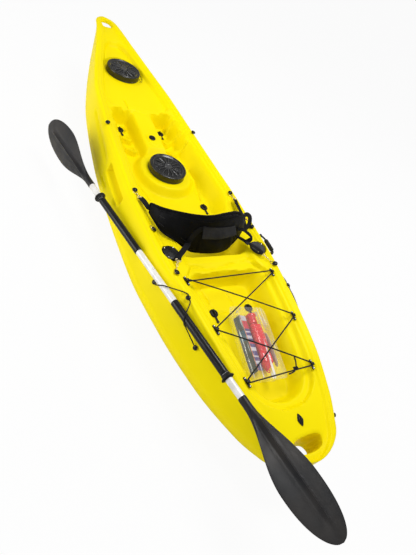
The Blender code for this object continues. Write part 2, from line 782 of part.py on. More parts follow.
def build_hatch(name, x, z, looks):
    """One screw hatch: rim in the deck, seal on the rim, lid over both."""
    base = FIT_GAP
    lid_base = 2 * FIT_GAP
    dish = lid_base + LID_HEIGHT - LID_RIM_RISE
    underside = dish - LID_WALL
    seal_z = underside - FIT_GAP - SEAL_WIRE
    neck_top = seal_z - SEAL_WIRE - FIT_GAP
    neck = HATCH_BORE - 0.002
    outer = neck + 0.007
    inner = neck - 0.004
    profile = [(inner, -0.016), (neck, -0.016), (neck, base), (RIM_FLANGE, base)]
    profile += [(RIM_FLANGE, base + RIM_THICK), (outer, base + RIM_THICK)]
    profile += [(outer, neck_top), (inner, neck_top)]
    turned(name + "_rim", profile, looks["plastic"], 20, at(x, 0, z))
    wire = [(0.5 * (inner + outer) + SEAL_WIRE * math.cos(t), SEAL_WIRE * math.sin(t)) for t in corners(5)]
    turned(name + "_seal", wire, looks["rubber"], 20, at(x, 0, z + seal_z))
    steps = 2 * LID_RIB_COUNT
    top = lid_base + LID_HEIGHT
    skirt = LID_RADIUS - LID_WALL
    heights = [(0, underside, 0), (skirt, underside, 0), (skirt, lid_base, 0), (LID_RADIUS, lid_base, 0)]
    heights += [(LID_RADIUS, top - 0.003, 0), (LID_RADIUS - 0.003, top, 0), (LID_RADIUS - 0.010, top, 0)]
    heights += [(LID_RADIUS - 0.014, dish, 0), (0.84 * LID_RADIUS, dish, 1), (0.30 * LID_RADIUS, dish, 1)]
    heights += [(0.24 * LID_RADIUS, dish, 0), (0.22 * LID_RADIUS, dish + 0.002, 0), (0, dish + 0.002, 0)]
    bm = bmesh.new()
    rings = []
    for radius, level, ribbed in heights:
        if radius == 0:
            rings.append([bm.verts.new((x, 0, z + level))])
            continue
        ring = []
        for k in range(steps):
            turn = 2 * math.pi * k / steps
            rise = LID_RIB_RISE * ribbed * (k % 2)
            place = (x + radius * math.cos(turn), radius * math.sin(turn), z + level + rise)
            ring.append(bm.verts.new(place))
        rings.append(ring)
    for near, far in zip(rings, rings[1:]):
        for k in range(steps):
            j = (k + 1) % steps
            corner = [near[k % len(near)], near[j % len(near)], far[j % len(far)], far[k % len(far)]]
            bm.faces.new(list(dict.fromkeys(corner)))
    finish(name + "_lid", bm, looks["plastic"])


def corners(count):
    return [2 * math.pi * k / count for k in range(count)]


def build_scupper_plugs(looks, skin):
    """Push-in plugs: a tapered stem, a head with a finger bar and a pull tab."""
    for name, x, y in scupper_places():
        floor = skin.frame(x + SCUPPER_BORE + 0.004, y).translation.z
        stem = SCUPPER_BORE - 0.0015
        profile = [(0, -0.022), (stem - 0.003, -0.022), (stem, 0.0), (PLUG_HEAD, 0.0)]
        profile += [(PLUG_HEAD, 0.004), (PLUG_HEAD - 0.004, 0.007), (0, 0.008)]
        head = turned(name + "_head", profile, None, 12)
        bar = block(name + "_bar", (0.030, 0.007, 0.012), (0, 0, 0.010))
        tab = block(name + "_tab", (0.026, 0.010, 0.003), (-0.029, 0, 0.0025))
        plug = welded("scupper_plug_" + name, [head, bar, tab], looks["rubber"])
        moved(plug, at(x, y, floor))
        skin.seat(plug, (0, 0, -1))


def build_small_plugs(looks, skin):
    wide = CONSOLE_PLUG_RADIUS
    stem = wide - 0.004
    console = [(0, -0.012), (stem, -0.012), (stem, 0), (wide, 0), (wide, 0.003), (stem, 0.005), (0, 0.005)]
    frame = plug_frame(CONSOLE_PLUG_X)
    plug = turned("console_plug", console, looks["plastic"], 16, frame)
    skin.seat(plug, -frame.col[2].to_3d())
    stem = DRAIN_BORE - 0.001
    flange = skinned("drain_flange", [rhombus(0.026, 0.016, z) for z in (0, 0.003)], None)
    core = [(0, -0.014), (stem, -0.014), (stem, 0.002), (0.011, 0.007), (0, 0.007)]
    drain = turned("drain_core", core, None, 12)
    drain = welded("drain_plug", [flange, drain], looks["plastic"])
    frame = plug_frame(DRAIN_X)
    moved(drain, frame)
    skin.seat(drain, -frame.col[2].to_3d())


def rhombus(long, short, z):
    """A lozenge plate's outline with blunted points."""
    cut = 0.22
    points = []
    for x, y in ((long, 0), (0, short), (-long, 0), (0, -short)):
        turn = math.atan2(y, x)
        for step in (-cut, cut):
            points.append((x * (1 - cut * 0.5) - step * 0.5 * math.sin(turn) * long,
                           y * (1 - cut * 0.5) + step * 0.5 * math.cos(turn) * short, z))
    return points


def build_rod_holders(looks):
    """Flush rod holders: a flange on the gunwale, a leaning tube, and a hinged cap."""
    for side, sign in SIDES:
        place = at(ROD_PLACE[0], sign * ROD_PLACE[1], ROD_DECK_Z + FIT_GAP)
        flange = cylinder(side + "_flange", ROD_FLANGE, 0, ROD_FLANGE_THICK + 0.001, place, 24)
        pipe = cylinder(side + "_pipe", ROD_TUBE, -ROD_TUBE_LENGTH, 0.012, rod_frame(sign), 16)
        bore = cylinder(side + "_bore", ROD_BORE, -ROD_TUBE_LENGTH + 0.004, 0.05, rod_frame(sign), 16)
        skim = cylinder(side + "_skim", ROD_FLANGE + 0.01, ROD_FLANGE_THICK, 0.06, place, 24)
        holder = welded("rod_holder_" + side, [flange, pipe], looks["plastic"])
        boolean(holder, helper(bore))
        boolean(holder, helper(skim))
        settled(holder)
        lift = ROD_FLANGE_THICK + FIT_GAP
        radius = ROD_FLANGE - 0.003
        cap = [(0, lift), (radius, lift), (radius, lift + 0.004), (radius - 0.005, lift + ROD_CAP_THICK)]
        cap += [(0, lift + ROD_CAP_THICK + 0.001)]
        turned("rod_cap_" + side, cap, looks["cap"], 24, place)


def build_buttons(looks, skin):
    """Dome-headed studs along the gunwales; those by the seat carry its rings."""
    under = RING_LIFT + 0.0025
    head = [(0, 0), (0.0055, 0), (0.0055, under), (BUTTON_HEAD, under + 0.0005)]
    head += [(BUTTON_HEAD - 0.001, under + 0.004), (0.0050, under + 0.0065), (0, under + 0.0075)]
    places = {"foot": BUTTON_PLACE, **EYE_PLACES}
    for name, (x, y) in places.items():
        for side, sign in SIDES:
            frame = skin.frame(x, sign * y)
            button = turned(f"button_{name}_{side}", head, looks["plastic"], 10, frame)
            skin.seat(button, -frame.col[2].to_3d())


def build_clips(looks, skin):
    """Snap hooks: a wire loop round the stud, a swivel, and the strap's bar."""
    for name, far in CLIP_RUNS:
        x, y = EYE_PLACES[name]
        for side, sign in SIDES:
            frame = skin.frame(x, sign * y)
            base = frame @ Vector((0, 0, RING_LIFT))
            end = Vector((far[0], sign * far[1], far[2]))
            normal = frame.col[2].to_3d()
            flat = (end - base) - normal * (end - base).dot(normal)
            flat.normalize()
            across = normal.cross(flat)
            loop = []
            for turn in corners(10):
                reach = 0.0085 + 0.016 * math.cos(turn)
                loop.append(base + flat * reach + across * 0.0095 * math.sin(turn))
            ring = tube("ring", loop, RING_WIRE, None, 4, True)
            start = base + flat * 0.0240
            along = (end - start).normalized()
            stem = [start, start + along * 0.006, end - along * 0.004, end]
            swivel = tube("swivel", stem, 0.0030, None, 5)
            across = Vector((0, 0, 1)).cross(along).normalized()
            bar = tube("bar", [end - across * 0.012, end + across * 0.012], 0.0022, None, 5)
            welded(f"seat_clip_{name}_{side}", [ring, swivel, bar], looks["brass"])


def build_tank_hooks(looks, skin):
    """Two-screw bungee hooks along the tank well, each open to the middle."""
    heights = {}
    for number, (x, y) in enumerate(TANK_HOOKS, 1):
        for side, sign in SIDES:
            frame = skin.frame(x, sign * y)
            plate = block("plate", (0.034, 0.010, 0.003), (0, 0, 0.0015))
            outline = [(-0.0045, 0.001), (0.0045, 0.001), (0.0045, 0.013), (-0.006, 0.013)]
            outline += [(-0.006, 0.0105), (0.0005, 0.0105), (0.0005, 0.0035), (-0.0045, 0.0035)]
            rings = [[(u, v * sign, w) for v, w in outline] for u in (-0.006, 0.006)]
            arm = skinned("arm", rings, None)
            hook = welded(f"tank_hook_{number}_{side}", [plate, arm], looks["plastic"])
            turn = Matrix.Rotation(sign * tank_toe(number), 4, "Z")
            moved(hook, at(x, sign * y, frame.translation.z) @ turn)
            skin.seat(hook, (0, 0, -1))
            heights[number, sign] = min(v.co.z for v in hook.data.vertices)
    return heights


def tank_toe(number):
    """Angle at which the tank well's side runs by each hook."""
    x = TANK_HOOKS[number - 1][0]
    return math.atan2(float(ridge_half(x + 0.05) - ridge_half(x - 0.05)), 0.10)


def mouth(number, sign, heights, along):
    """Where the cord lies in a tank hook's mouth, along its length."""
    x, y = TANK_HOOKS[number - 1]
    turn = sign * tank_toe(number)
    inward = -HOOK_MOUTH * sign
    return Vector((
        x + along * math.cos(turn) - inward * math.sin(turn),
        sign * y + along * math.sin(turn) + inward * math.cos(turn),
        heights[number, sign] + 0.007,
    ))


def build_tank_bungee(looks, heights):
    """One elastic cord laced over the tank well from hook to hook."""
    order = ((3, -1), (2, 1), (1, -1), (1, 1), (2, -1), (3, 1), (3, -1))
    stops = []
    for number, sign in order:
        stops.append([mouth(number, sign, heights, d) for d in (0.0035, -0.0035)])
    path = [stops[0][0]]
    lifts = (CROSS_LIFT, -CROSS_LIFT, 0, CROSS_LIFT, -CROSS_LIFT, 0)
    for i, lift in enumerate(lifts):
        start = path[-1]
        arrive = sorted(stops[i + 1], key=lambda p: (p - start).length)
        count = max(4, int((arrive[0] - start).length / 0.075))
        for k in range(1, count):
            share = k / count
            path.append(start.lerp(arrive[0], share) + Vector((0, 0, lift * math.sin(math.pi * share))))
        path += arrive if i < len(lifts) - 1 else arrive[:1]
    cord("tank_bungee", path, BUNGEE_RADIUS, looks["cord"])


def build_carry_handle(looks):
    """Rigid grab handle on the starboard side, swinging on its two ends."""
    x, y, z = HANDLE_AXIS
    half = HANDLE_LENGTH / 2
    reach = Vector((0, HANDLE_REACH[0], HANDLE_REACH[1]))
    path = []
    for along, out in ((-half, 0), (-half + 0.003, 0.4), (-half + 0.014, 0.95), (-half + 0.03, 1.0)):
        path.append(Vector((x + along, y, z)) + reach * out)
    path += [Vector((2 * x - p.x, p.y, p.z)) for p in path[::-1]]
    strap = tube("strap", path, 0.0045, None, 6)
    lying = Matrix.Rotation(math.pi / 2, 4, "Y")
    grip = cylinder("grip", HANDLE_GRIP, -0.036, 0.036, lying, 10)
    moved(grip, at(x, y + reach.y, z + reach.z))
    ends = [cylinder("end", 0.0075, -0.006, 0.006, at(x + s * half, y, z) @ lying, 8) for s in (-1, 1)]
    welded("carry_handle", [strap, grip] + ends, looks["plastic"])


def shaft_point(x):
    direction = paddle_frame().col[2].to_3d()
    return Vector(PADDLE_MIDDLE) + direction * ((x - PADDLE_MIDDLE[0]) / direction.x)


def build_keepers(looks, skin):
    """Elastic paddle keepers: a cord held by three studs on each side."""
    stud = [(0, 0.0005), (0.0050, 0.0005), (0.0105, 0.0045), (0.0080, 0.0085), (0, 0.0095)]
    for side, sign in SIDES:
        frames = [
            skin.frame(KEEPER_FORE[0], sign * KEEPER_FORE[1], (0, sign, 0.35)),
            skin.frame(KEEPER_TOP[0], sign * KEEPER_TOP[1]),
            skin.frame(KEEPER_AFT[0], sign * KEEPER_AFT[1], (0, sign, 0.35)),
        ]
        studs = []
        for frame in frames:
            made = turned("stud", stud, None, 8, frame)
            studs.append(skin.seat(made, -frame.col[2].to_3d()))
        fore, top, aft = (frame @ Vector((0, 0, 0.0045)) for frame in frames)
        path = [fore]
        if sign > 0:
            around = (GRIP_RADIUS + KEEPER_RADIUS + 2 * FIT_GAP) / math.cos(math.radians(18))
            fore_leg = [(-0.600 - 0.011 * k, -45 + 35 * k) for k in range(5)]
            aft_leg = [(-0.782 - 0.012 * k, 95 - 35 * k) for k in range(5)]
            for leg in (fore_leg, aft_leg):
                over = []
                for x, degrees in leg:
                    turn = math.radians(degrees)
                    over.append(shaft_point(x) + Vector((0, math.cos(turn), math.sin(turn))) * around)
                shift = 0.022 if leg is fore_leg else -0.022
                crest = Vector((KEEPER_TOP[0] + shift, float(ridge_half(KEEPER_TOP[0])) - 0.006, 0))
                crest.z = skin.frame(crest.x, crest.y).translation.z + KEEPER_RADIUS + 3 * FIT_GAP
                path += over + [crest, top] if leg is fore_leg else [crest] + over + [aft]
        else:
            path += skin.laid(frames[0], frames[1], 7, KEEPER_LIFT) + [top]
            path += skin.laid(frames[1], frames[2], 7, KEEPER_LIFT) + [aft]
        line = tube("line", path, KEEPER_RADIUS, None, 5)
        welded("paddle_keeper_" + side, [line] + studs, looks["cord"])


def run_through(points, share):
    """A smooth curve through points, from 0 at the first to 1 at the last."""
    whole = min(max(share, 0.0), 1.0) * (len(points) - 1)
    i = min(int(whole), len(points) - 2)
    u = whole - i
    near, far = Vector(points[i]), Vector(points[i + 1])
    before = Vector(points[i - 1]) if i else 2 * near - far
    after = Vector(points[i + 2]) if i + 2 < len(points) else 2 * far - near
    return near + 0.5 * u * (
        far - before
        + u * (2 * before - 5 * near + 4 * far - after)
        + u * u * (3 * (near - far) + after - before)
    )


def seat_place(share, level):
    """A point in the middle of the seat back: port to starboard, hem to top."""
    return run_through(SEAT_LOWER, share).lerp(run_through(SEAT_UPPER, share), level)


def seat_along(share):
    """The way the seat back runs at a share, from port to starboard."""
    return (seat_place(share + 0.02, 0.5) - seat_place(share - 0.02, 0.5)).normalized()


def seat_rear(share):
    """The way the rear of the seat back faces at a share."""
    up = seat_place(share, 1) - seat_place(share, 0)
    return seat_along(share).cross(up).normalized()


def seat_depth(share, level):
    """Half thickness of the padding, drawn in at the hems and at the wing ends."""
    up = 0.30 + 0.70 * math.sin(math.pi * min(max(level, 0), 1)) ** 0.45
    along = 0.45 + 0.55 * math.cos(math.pi / 2 * 0.955 * (2 * share - 1)) ** 0.35
    return SEAT_THICK / 2 * up * along


def build_seat(looks):
    """Padded seat back and the pocket sewn to its rear."""
    rings = []
    for station in range(SEAT_RINGS + 1):
        share = station / SEAT_RINGS
        rear = seat_rear(share)
        places = [(seat_place(share, t), rear * seat_depth(share, t)) for t in SEAT_LEVELS]
        rings.append([p + d for p, d in places] + [p - d for p, d in places[::-1]])
    skinned("seat_back", rings, looks["fabric"], 60)
    rings = []
    first, last = POCKET_STATIONS
    for station in range(first, last + 1):
        share = station / SEAT_RINGS
        rear = seat_rear(share)
        near = []
        far = []
        puff = 0.35 + 0.65 * math.sin(math.pi * (station - first + 0.5) / (last - first + 1)) ** 0.5
        for t, swell in zip(SEAT_LEVELS[1:5], POCKET_SWELL):
            base = seat_depth(share, t) + 2 * FIT_GAP
            near.append(seat_place(share, t) + rear * base)
            far.append(seat_place(share, t) + rear * (base + POCKET_DEPTH * puff * swell))
        rings.append(near + far[::-1])
    skinned("seat_pocket", rings, looks["fabric"], 60)


def build_straps(looks):
    """Webbing from the seat back to the snap hooks."""
    for side, sign in SIDES:
        for name, far in CLIP_RUNS:
            end = Vector((far[0], sign * far[1], far[2]))
            if name == "aft":
                share = REAR_STRAP_AT[sign]
                rear = seat_rear(share)
                depth = seat_depth(share, REAR_STRAP_RISE) + 3 * FIT_GAP
                start = seat_place(share, REAR_STRAP_RISE) + rear * depth
                over = start.lerp(end, 0.55) + Vector((0, 0, STRAP_ARCH))
                near = end + Vector((0.018, -sign * 0.010, 0.0045))
                path = [start, start + rear * 0.016, over, near, end]
            else:
                share = (1 - sign) / 2
                up = seat_place(share, 1) - seat_place(share, 0)
                along = up.cross(seat_rear(share)).normalized() * -sign
                start = seat_place(share, 0.5) + along * 2 * FIT_GAP
                path = [start, start + along * 0.008, start.lerp(end, 0.6), end]
            along = (path[-1] - path[-2]).normalized()
            path[-1] = end - along * 0.0032
            ribbon(f"seat_strap_{name}_{side}", path, (0, 0.2 * sign, 1), STRAP_WIDTH, looks["webbing"])


def paddle_frame(roll=0.0):
    """Frame on the shaft's joint: Z runs to the fore blade, Y is square to it and up."""
    along = Vector((
        math.cos(PADDLE_YAW) * math.cos(PADDLE_PITCH),
        math.sin(PADDLE_YAW) * math.cos(PADDLE_PITCH),
        math.sin(PADDLE_PITCH),
    ))
    side = Vector((0, 0, 1)).cross(along).normalized()
    up = along.cross(side)
    frame = Matrix((side, up, along)).transposed().to_4x4()
    frame.translation = Vector(PADDLE_MIDDLE)
    return frame @ Matrix.Rotation(roll, 4, "Z")


def build_paddle(looks):
    """Two-piece paddle: the aft half's spigot enters the fore half."""
    inner = SHAFT_RADIUS - SHAFT_WALL
    spigot = inner * math.cos(math.pi / SHAFT_SIDES) - FIT_GAP
    far = BLADE_START - FIT_GAP
    bore = spigot - 0.0030
    groove = spigot - 0.0020
    aft = [(inner, -far), (SHAFT_RADIUS, -far), (SHAFT_RADIUS, 0), (spigot, 0)]
    aft += [(spigot, BUTTON_AT - 0.006), (groove, BUTTON_AT - 0.006), (groove, BUTTON_AT + 0.006)]
    aft += [(spigot, BUTTON_AT + 0.006), (spigot, SPIGOT_LENGTH), (bore, SPIGOT_LENGTH)]
    aft += [(bore, -0.02), (inner, -0.02)]
    turned("shaft_aft", aft, looks["shaft"], SHAFT_SIDES, paddle_frame())
    fore = [(inner, FIT_GAP), (SHAFT_RADIUS, FIT_GAP), (SHAFT_RADIUS, far), (inner, far)]
    shaft = turned("shaft_fore", fore, looks["shaft"], SHAFT_SIDES, paddle_frame())
    turn_up = paddle_frame() @ at(0, 0, BUTTON_AT) @ Matrix.Rotation(-math.pi / 2, 4, "X")
    boolean(shaft, helper(cylinder("button_hole", SPRING_BUTTON + FIT_GAP, 0.008, 0.030, turn_up, 8)))
    settled(shaft)
    tip = SHAFT_RADIUS + SPRING_BUTTON_PROUD
    cylinder("shaft_button", SPRING_BUTTON, groove + 0.0030, tip, turn_up, 8)
    bpy.data.objects["shaft_button"].data.materials.append(looks["brass"])
    sleeve = SHAFT_RADIUS + FIT_GAP
    for name, sign, roll in (("aft", -1, AFT_BLADE_ROLL), ("fore", 1, FORE_BLADE_ROLL)):
        frame = paddle_frame() if sign > 0 else paddle_frame() @ Matrix.Rotation(math.pi, 4, "Y")
        grip = [(sleeve, GRIP_START), (GRIP_RADIUS - 0.001, GRIP_START), (GRIP_RADIUS, GRIP_START + 0.004)]
        grip += [(GRIP_RADIUS, GRIP_END - 0.004), (GRIP_RADIUS - 0.001, GRIP_END), (sleeve, GRIP_END)]
        turned("grip_" + name, grip, looks["grip"], SHAFT_SIDES, frame)
        ring = [(sleeve, -0.011), (0.0185, -0.011), (0.0200, -0.002), (0.0265, 0.004), (0.0265, 0.007)]
        ring += [(0.0185, 0.010), (sleeve, 0.011)]
        turned("drip_ring_" + name, ring, looks["rubber"], SHAFT_SIDES, frame @ at(0, 0, DRIP_RING_AT))
        blade(name, frame @ Matrix.Rotation(roll * sign, 4, "Z"), looks["blade"], spigot)


def blade(name, frame, look, plug):
    """A spooned blade with a spine, whose plug enters the shaft."""
    length = BLADE_TIP - BLADE_START
    rings = []
    for share in (-0.055, 0.0, 0.001, 0.05, 0.12, 0.20, 0.32, 0.46, 0.60, 0.74, 0.86, 0.94, 0.98, 1.0):
        if share <= 0:
            half = plug
            thick = plug
        else:
            swell = float(smooth(0.05, 0.62, share)) ** 0.9
            half = mix(NECK_RADIUS, BLADE_WIDTH / 2, swell)
            half = half * math.sqrt(max(1 - max((share - 0.62) / 0.38, 0) ** 2.3, 0.012))
            thick = mix(NECK_RADIUS, BLADE_THICK / 2, float(smooth(0.03, 0.34, share)))
        ring = []
        for turn in corners(14):
            u = half * math.cos(turn)
            v = thick * math.sin(turn)
            spine = SPINE_RISE * math.exp(-((u / 0.012) ** 2)) * float(smooth(0.1, 0.3, share))
            spine = spine * (1 - 0.7 * share) * (math.sin(turn) > 0)
            spoon = -SPOON * (u / (BLADE_WIDTH / 2)) ** 2 * float(smooth(0.1, 0.5, share))
            ring.append(frame @ Vector((u, v + spine + spoon, BLADE_START + share * length)))
        rings.append(ring)
    skinned("blade_" + name, rings, look, 50)


def tray(name, low, high, depth, wall, look):
    """An upturned tray: a tapered case, open beneath."""
    def loop(size, z, out):
        half_x = size[0] / 2 - out
        half_y = size[1] / 2 - out
        cut = 0.012
        points = []
        for sx, sy in ((1, 1), (-1, 1), (-1, -1), (1, -1)):
            first = (half_x - cut, half_y) if sx * sy > 0 else (half_x, half_y - cut)
            second = (half_x, half_y - cut) if sx * sy > 0 else (half_x - cut, half_y)
            points += [(sx * second[0], sy * second[1], z), (sx * first[0], sy * first[1], z)]
        return points
    rings = [loop(high, depth - wall, wall), loop(low, 0, wall), loop(low, 0, 0), loop(high, depth, 0)]
    return skinned(name, rings, look, 30)


def build_kit(looks, skin):
    """Safety kit in its clear case, stowed under the tank bungee."""
    place = at(*KIT_PLACE) @ Matrix.Rotation(KIT_TURN, 4, "Z")
    case = tray("kit_case", KIT_BASE, KIT_TOP, KIT_HEIGHT, KIT_WALL, looks["clear"])
    rings = []
    for x, half, high in BAILER_SECTIONS:
        rings.append([(x, half, 0), (x, half, high * 0.8), (x, half * 0.6, high),
                      (x, -half * 0.6, high), (x, -half, high * 0.8), (x, -half, 0)])
    bailer = moved(skinned("kit_bailer", rings, looks["red"], 30), at(0, -0.018))
    torch = [(0, 0), (0.017, 0), (0.017, 0.032), (0.0195, 0.034), (0.0195, 0.044), (0, 0.044)]
    lying = at(0.093, -0.018, 0.021) @ Matrix.Rotation(math.pi / 2, 4, "Y")
    torch = turned("kit_torch", torch, looks["plastic"], 12, lying)
    card = block("kit_card", (0.245, 0.0012, 0.034), (0, 0, 0.0175), looks["card"])
    moved(card, at(0, 0.038, 0) @ Matrix.Rotation(-0.35, 4, "X"))
    for item in (case, bailer, torch, card):
        moved(item, place)
        skin.seat(item, (0, 0, -1))


def build():
    clear_scene()
    looks = {
        "hull": material("yellow_polyethylene", (0.98, 0.80, 0.004), 0.38),
        "plastic": material("black_plastic", (0.016, 0.016, 0.018), 0.42),
        "cap": material("grey_cap", (0.06, 0.063, 0.068), 0.28),
        "rubber": material("black_rubber", (0.014, 0.014, 0.015), 0.65),
        "fabric": material("black_fabric", (0.012, 0.012, 0.014), 0.80),
        "webbing": material("black_webbing", (0.010, 0.010, 0.012), 0.85),
        "cord": material("black_cord", (0.010, 0.010, 0.014), 0.75),
        "brass": material("brass", (0.62, 0.50, 0.28), 0.30, 1.0),
        "shaft": material("white_shaft", (0.84, 0.83, 0.80), 0.30),
        "grip": material("black_grip", (0.016, 0.016, 0.017), 0.60),
        "blade": material("black_blade", (0.018, 0.018, 0.020), 0.45),
        "clear": material("clear_case", (0.80, 0.82, 0.80), 0.10),
        "red": material("red_kit", (0.75, 0.02, 0.04), 0.35),
        "card": material("blue_card", (0.06, 0.10, 0.18), 0.55),
    }
    hull = build_hull(looks["hull"])
    skin = Skin(hull)
    for name, x, z, _, _ in HATCHES:
        build_hatch(name, x, z, looks)
    build_scupper_plugs(looks, skin)
    build_small_plugs(looks, skin)
    build_rod_holders(looks)
    build_buttons(looks, skin)
    build_clips(looks, skin)
    build_tank_bungee(looks, build_tank_hooks(looks, skin))
    build_carry_handle(looks)
    build_keepers(looks, skin)
    build_seat(looks)
    build_straps(looks)
    build_paddle(looks)
    build_kit(looks, skin)


build()
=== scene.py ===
"""Looks of the sit-on-top fishing kayak: every visible surface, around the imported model.

Metres, +Z up, +X to the bow, +Y to port, the origin on the keel below the middle of the hull.
"""
import math

import bpy
import numpy as np
from mathutils import Matrix, Vector
from mathutils.bvhtree import BVHTree


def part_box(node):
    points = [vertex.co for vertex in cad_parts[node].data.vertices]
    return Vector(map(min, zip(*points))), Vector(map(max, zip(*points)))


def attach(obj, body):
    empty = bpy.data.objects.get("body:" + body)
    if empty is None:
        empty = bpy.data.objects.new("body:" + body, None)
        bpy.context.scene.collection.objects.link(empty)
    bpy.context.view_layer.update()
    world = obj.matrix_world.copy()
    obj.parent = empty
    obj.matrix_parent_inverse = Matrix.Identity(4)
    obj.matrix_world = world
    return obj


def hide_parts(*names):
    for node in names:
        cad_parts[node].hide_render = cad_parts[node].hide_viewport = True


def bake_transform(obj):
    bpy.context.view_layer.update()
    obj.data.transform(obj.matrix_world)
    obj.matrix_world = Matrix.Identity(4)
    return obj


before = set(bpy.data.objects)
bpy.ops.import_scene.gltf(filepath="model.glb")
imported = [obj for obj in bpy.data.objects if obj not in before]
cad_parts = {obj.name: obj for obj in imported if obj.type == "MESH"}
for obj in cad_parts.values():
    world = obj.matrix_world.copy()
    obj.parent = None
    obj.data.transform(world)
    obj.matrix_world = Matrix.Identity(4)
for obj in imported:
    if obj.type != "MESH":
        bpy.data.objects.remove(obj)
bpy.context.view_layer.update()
UP = Vector((0, 0, 1))


def at(x, y, z):
    """A frame that is only moved."""
    return Matrix.Translation((x, y, z))


def framed(ahead, beside, up, place):
    """A frame with these three axes at a place."""
    return at(*place) @ Matrix((ahead, beside, up)).transposed().to_4x4()


# The view: the photograph was taken from high over the port quarter, with a slightly
# long lens. These are the camera's place, its three axes and its lens on a 555 px frame.
CAMERA_PLACE = Vector((-1.523, 1.234, 1.610))
CAMERA_RIGHT = Vector((-0.3988, -0.8243, 0.4019))
CAMERA_DOWN = Vector((-0.7851, 0.0804, -0.6142))
CAMERA_AHEAD = Vector((0.4740, -0.5604, -0.6792))
FRAME_HIGH = 555
LENS_PIXELS = 447.2
LENS_CENTRE = (202.7, 275.6)

view = bpy.data.cameras.new("view")
view.sensor_fit = "VERTICAL"
view.sensor_height = 36
view.lens = LENS_PIXELS / FRAME_HIGH * view.sensor_height
view.shift_x = (208 - LENS_CENTRE[0]) / FRAME_HIGH
view.shift_y = (LENS_CENTRE[1] - FRAME_HIGH / 2) / FRAME_HIGH
camera = bpy.data.objects.new("camera", view)
camera.matrix_world = framed(CAMERA_RIGHT, -CAMERA_DOWN, -CAMERA_AHEAD, CAMERA_PLACE)
bpy.context.scene.collection.objects.link(camera)
bpy.context.scene.camera = camera
bpy.context.scene.view_settings.view_transform = "Standard"


def lamp(name, place, aim, size, power):
    """A soft square lamp that looks at a point."""
    data = bpy.data.lights.new(name, "AREA")
    data.shape = "SQUARE"
    data.size = size
    data.energy = power
    item = bpy.data.objects.new(name, data)
    item.location = place
    item.rotation_euler = (Vector(aim) - Vector(place)).to_track_quat("-Z", "Y").to_euler()
    bpy.context.scene.collection.objects.link(item)


lamp("key", (0.1, -0.8, 3.5), (-0.2, 0.0, 0.1), 1.4, 72)
lamp("side", (0.8, 3.3, 1.0), (-0.1, 0.0, 0.2), 2.0, 60)
lamp("fill", (-3.0, 0.2, 2.4), (-0.2, 0.0, 0.2), 3.0, 18)
lamp("rim", (-0.4, -3.0, 2.6), (0.0, 0.0, 0.2), 0.6, 12)


# Two short ways that everything below uses: a material in the making, and a plain mesh.
class Look:
    """A material or a world in the making, with short ways to add nodes to it."""

    def __init__(self, owner):
        self.made = bpy.data.materials.new(owner) if isinstance(owner, str) else owner
        self.made.use_nodes = True
        self.nodes = self.made.node_tree.nodes

    def node(self, kind, **settings):
        """A new node; each setting is one of its inputs or of its attributes."""
        made = self.nodes.new("ShaderNode" + kind)
        for name, value in settings.items():
            if name in made.inputs:
                made.inputs[name].default_value = value
            else:
                setattr(made, name, value)
        return made

    def join(self, source, node, slot):
        """Gives an input a number, a colour or another node's output."""
        if isinstance(source, bpy.types.NodeSocket):
            self.made.node_tree.links.new(source, node.inputs[slot])
        else:
            node.inputs[slot].default_value = source

    def put(self, slot, source):
        """Gives the shader's own input a value."""
        self.join(source, self.nodes["Principled BSDF"], slot)

    def sum(self, operation, *terms, clamp=False):
        """What one operation makes of numbers and outputs."""
        made = self.node("Math", operation=operation, use_clamp=clamp)
        for slot, term in enumerate(terms):
            self.join(term, made, slot)
        return made.outputs[0]

    def seen(self):
        """1 for what the camera sees, straight or through glass."""
        path = self.node("LightPath").outputs
        return self.sum("ADD", path["Is Camera Ray"], path["Is Transmission Ray"], clamp=True)

    def place(self):
        """The piece's own coordinates, in metres."""
        return self.node("TexCoord").outputs["Object"]

    def mapped(self, **settings):
        """The piece's own coordinates, turned, moved or stretched."""
        made = self.node("Mapping", **settings)
        self.join(self.place(), made, "Vector")
        return made.outputs[0]

    def along(self, axis, place=None):
        """One of the coordinates."""
        made = self.node("SeparateXYZ")
        self.join(place or self.place(), made, 0)
        return made.outputs[axis]

    def noise(self, scale, detail=4.0, rough=0.5, place=None):
        """Noise between 0 and 1."""
        made = self.node("TexNoise", Scale=scale, Detail=detail, Roughness=rough)
        self.join(place or self.place(), made, "Vector")
        return made.outputs["Fac"]

    def threads(self, count, place, axis="X"):
        """Fine ribs across an axis, so many to the metre."""
        made = self.node("TexWave", Scale=count / 6.28, bands_direction=axis)
        self.join(place, made, "Vector")
        return made.outputs["Fac"]

    def ramp(self, source, low, high, start=0.0, end=1.0):
        """Maps a value in start..end to low..high, numbers or colours."""
        made = self.node("ValToRGB")
        for element, at, value in zip(made.color_ramp.elements, (start, end), (low, high)):
            element.position = at
            element.color = (*value, 1) if isinstance(value, tuple) else (value, value, value, 1)
        self.join(source, made, "Fac")
        return made.outputs["Color"]

    def blend(self, share, first, second, kind="MIX"):
        """Mixes two colours."""
        made = self.node("MixRGB", blend_type=kind)
        for slot, source in enumerate((share, first, second)):
            self.join(source, made, slot)
        return made.outputs[0]

    def relief(self, source, depth, strength, under=None):
        """A bump of a real depth in metres, over another if one is given."""
        made = self.node("Bump", Distance=depth, Strength=strength)
        self.join(source, made, "Height")
        if under:
            self.join(under, made, "Normal")
        return made.outputs["Normal"]


def primitive(kind, **sizes):
    """A new mesh of a simple kind, as the only selected object."""
    bpy.ops.object.select_all(action="DESELECT")
    getattr(bpy.ops.mesh, f"primitive_{kind}_add")(**sizes)
    return bpy.context.object


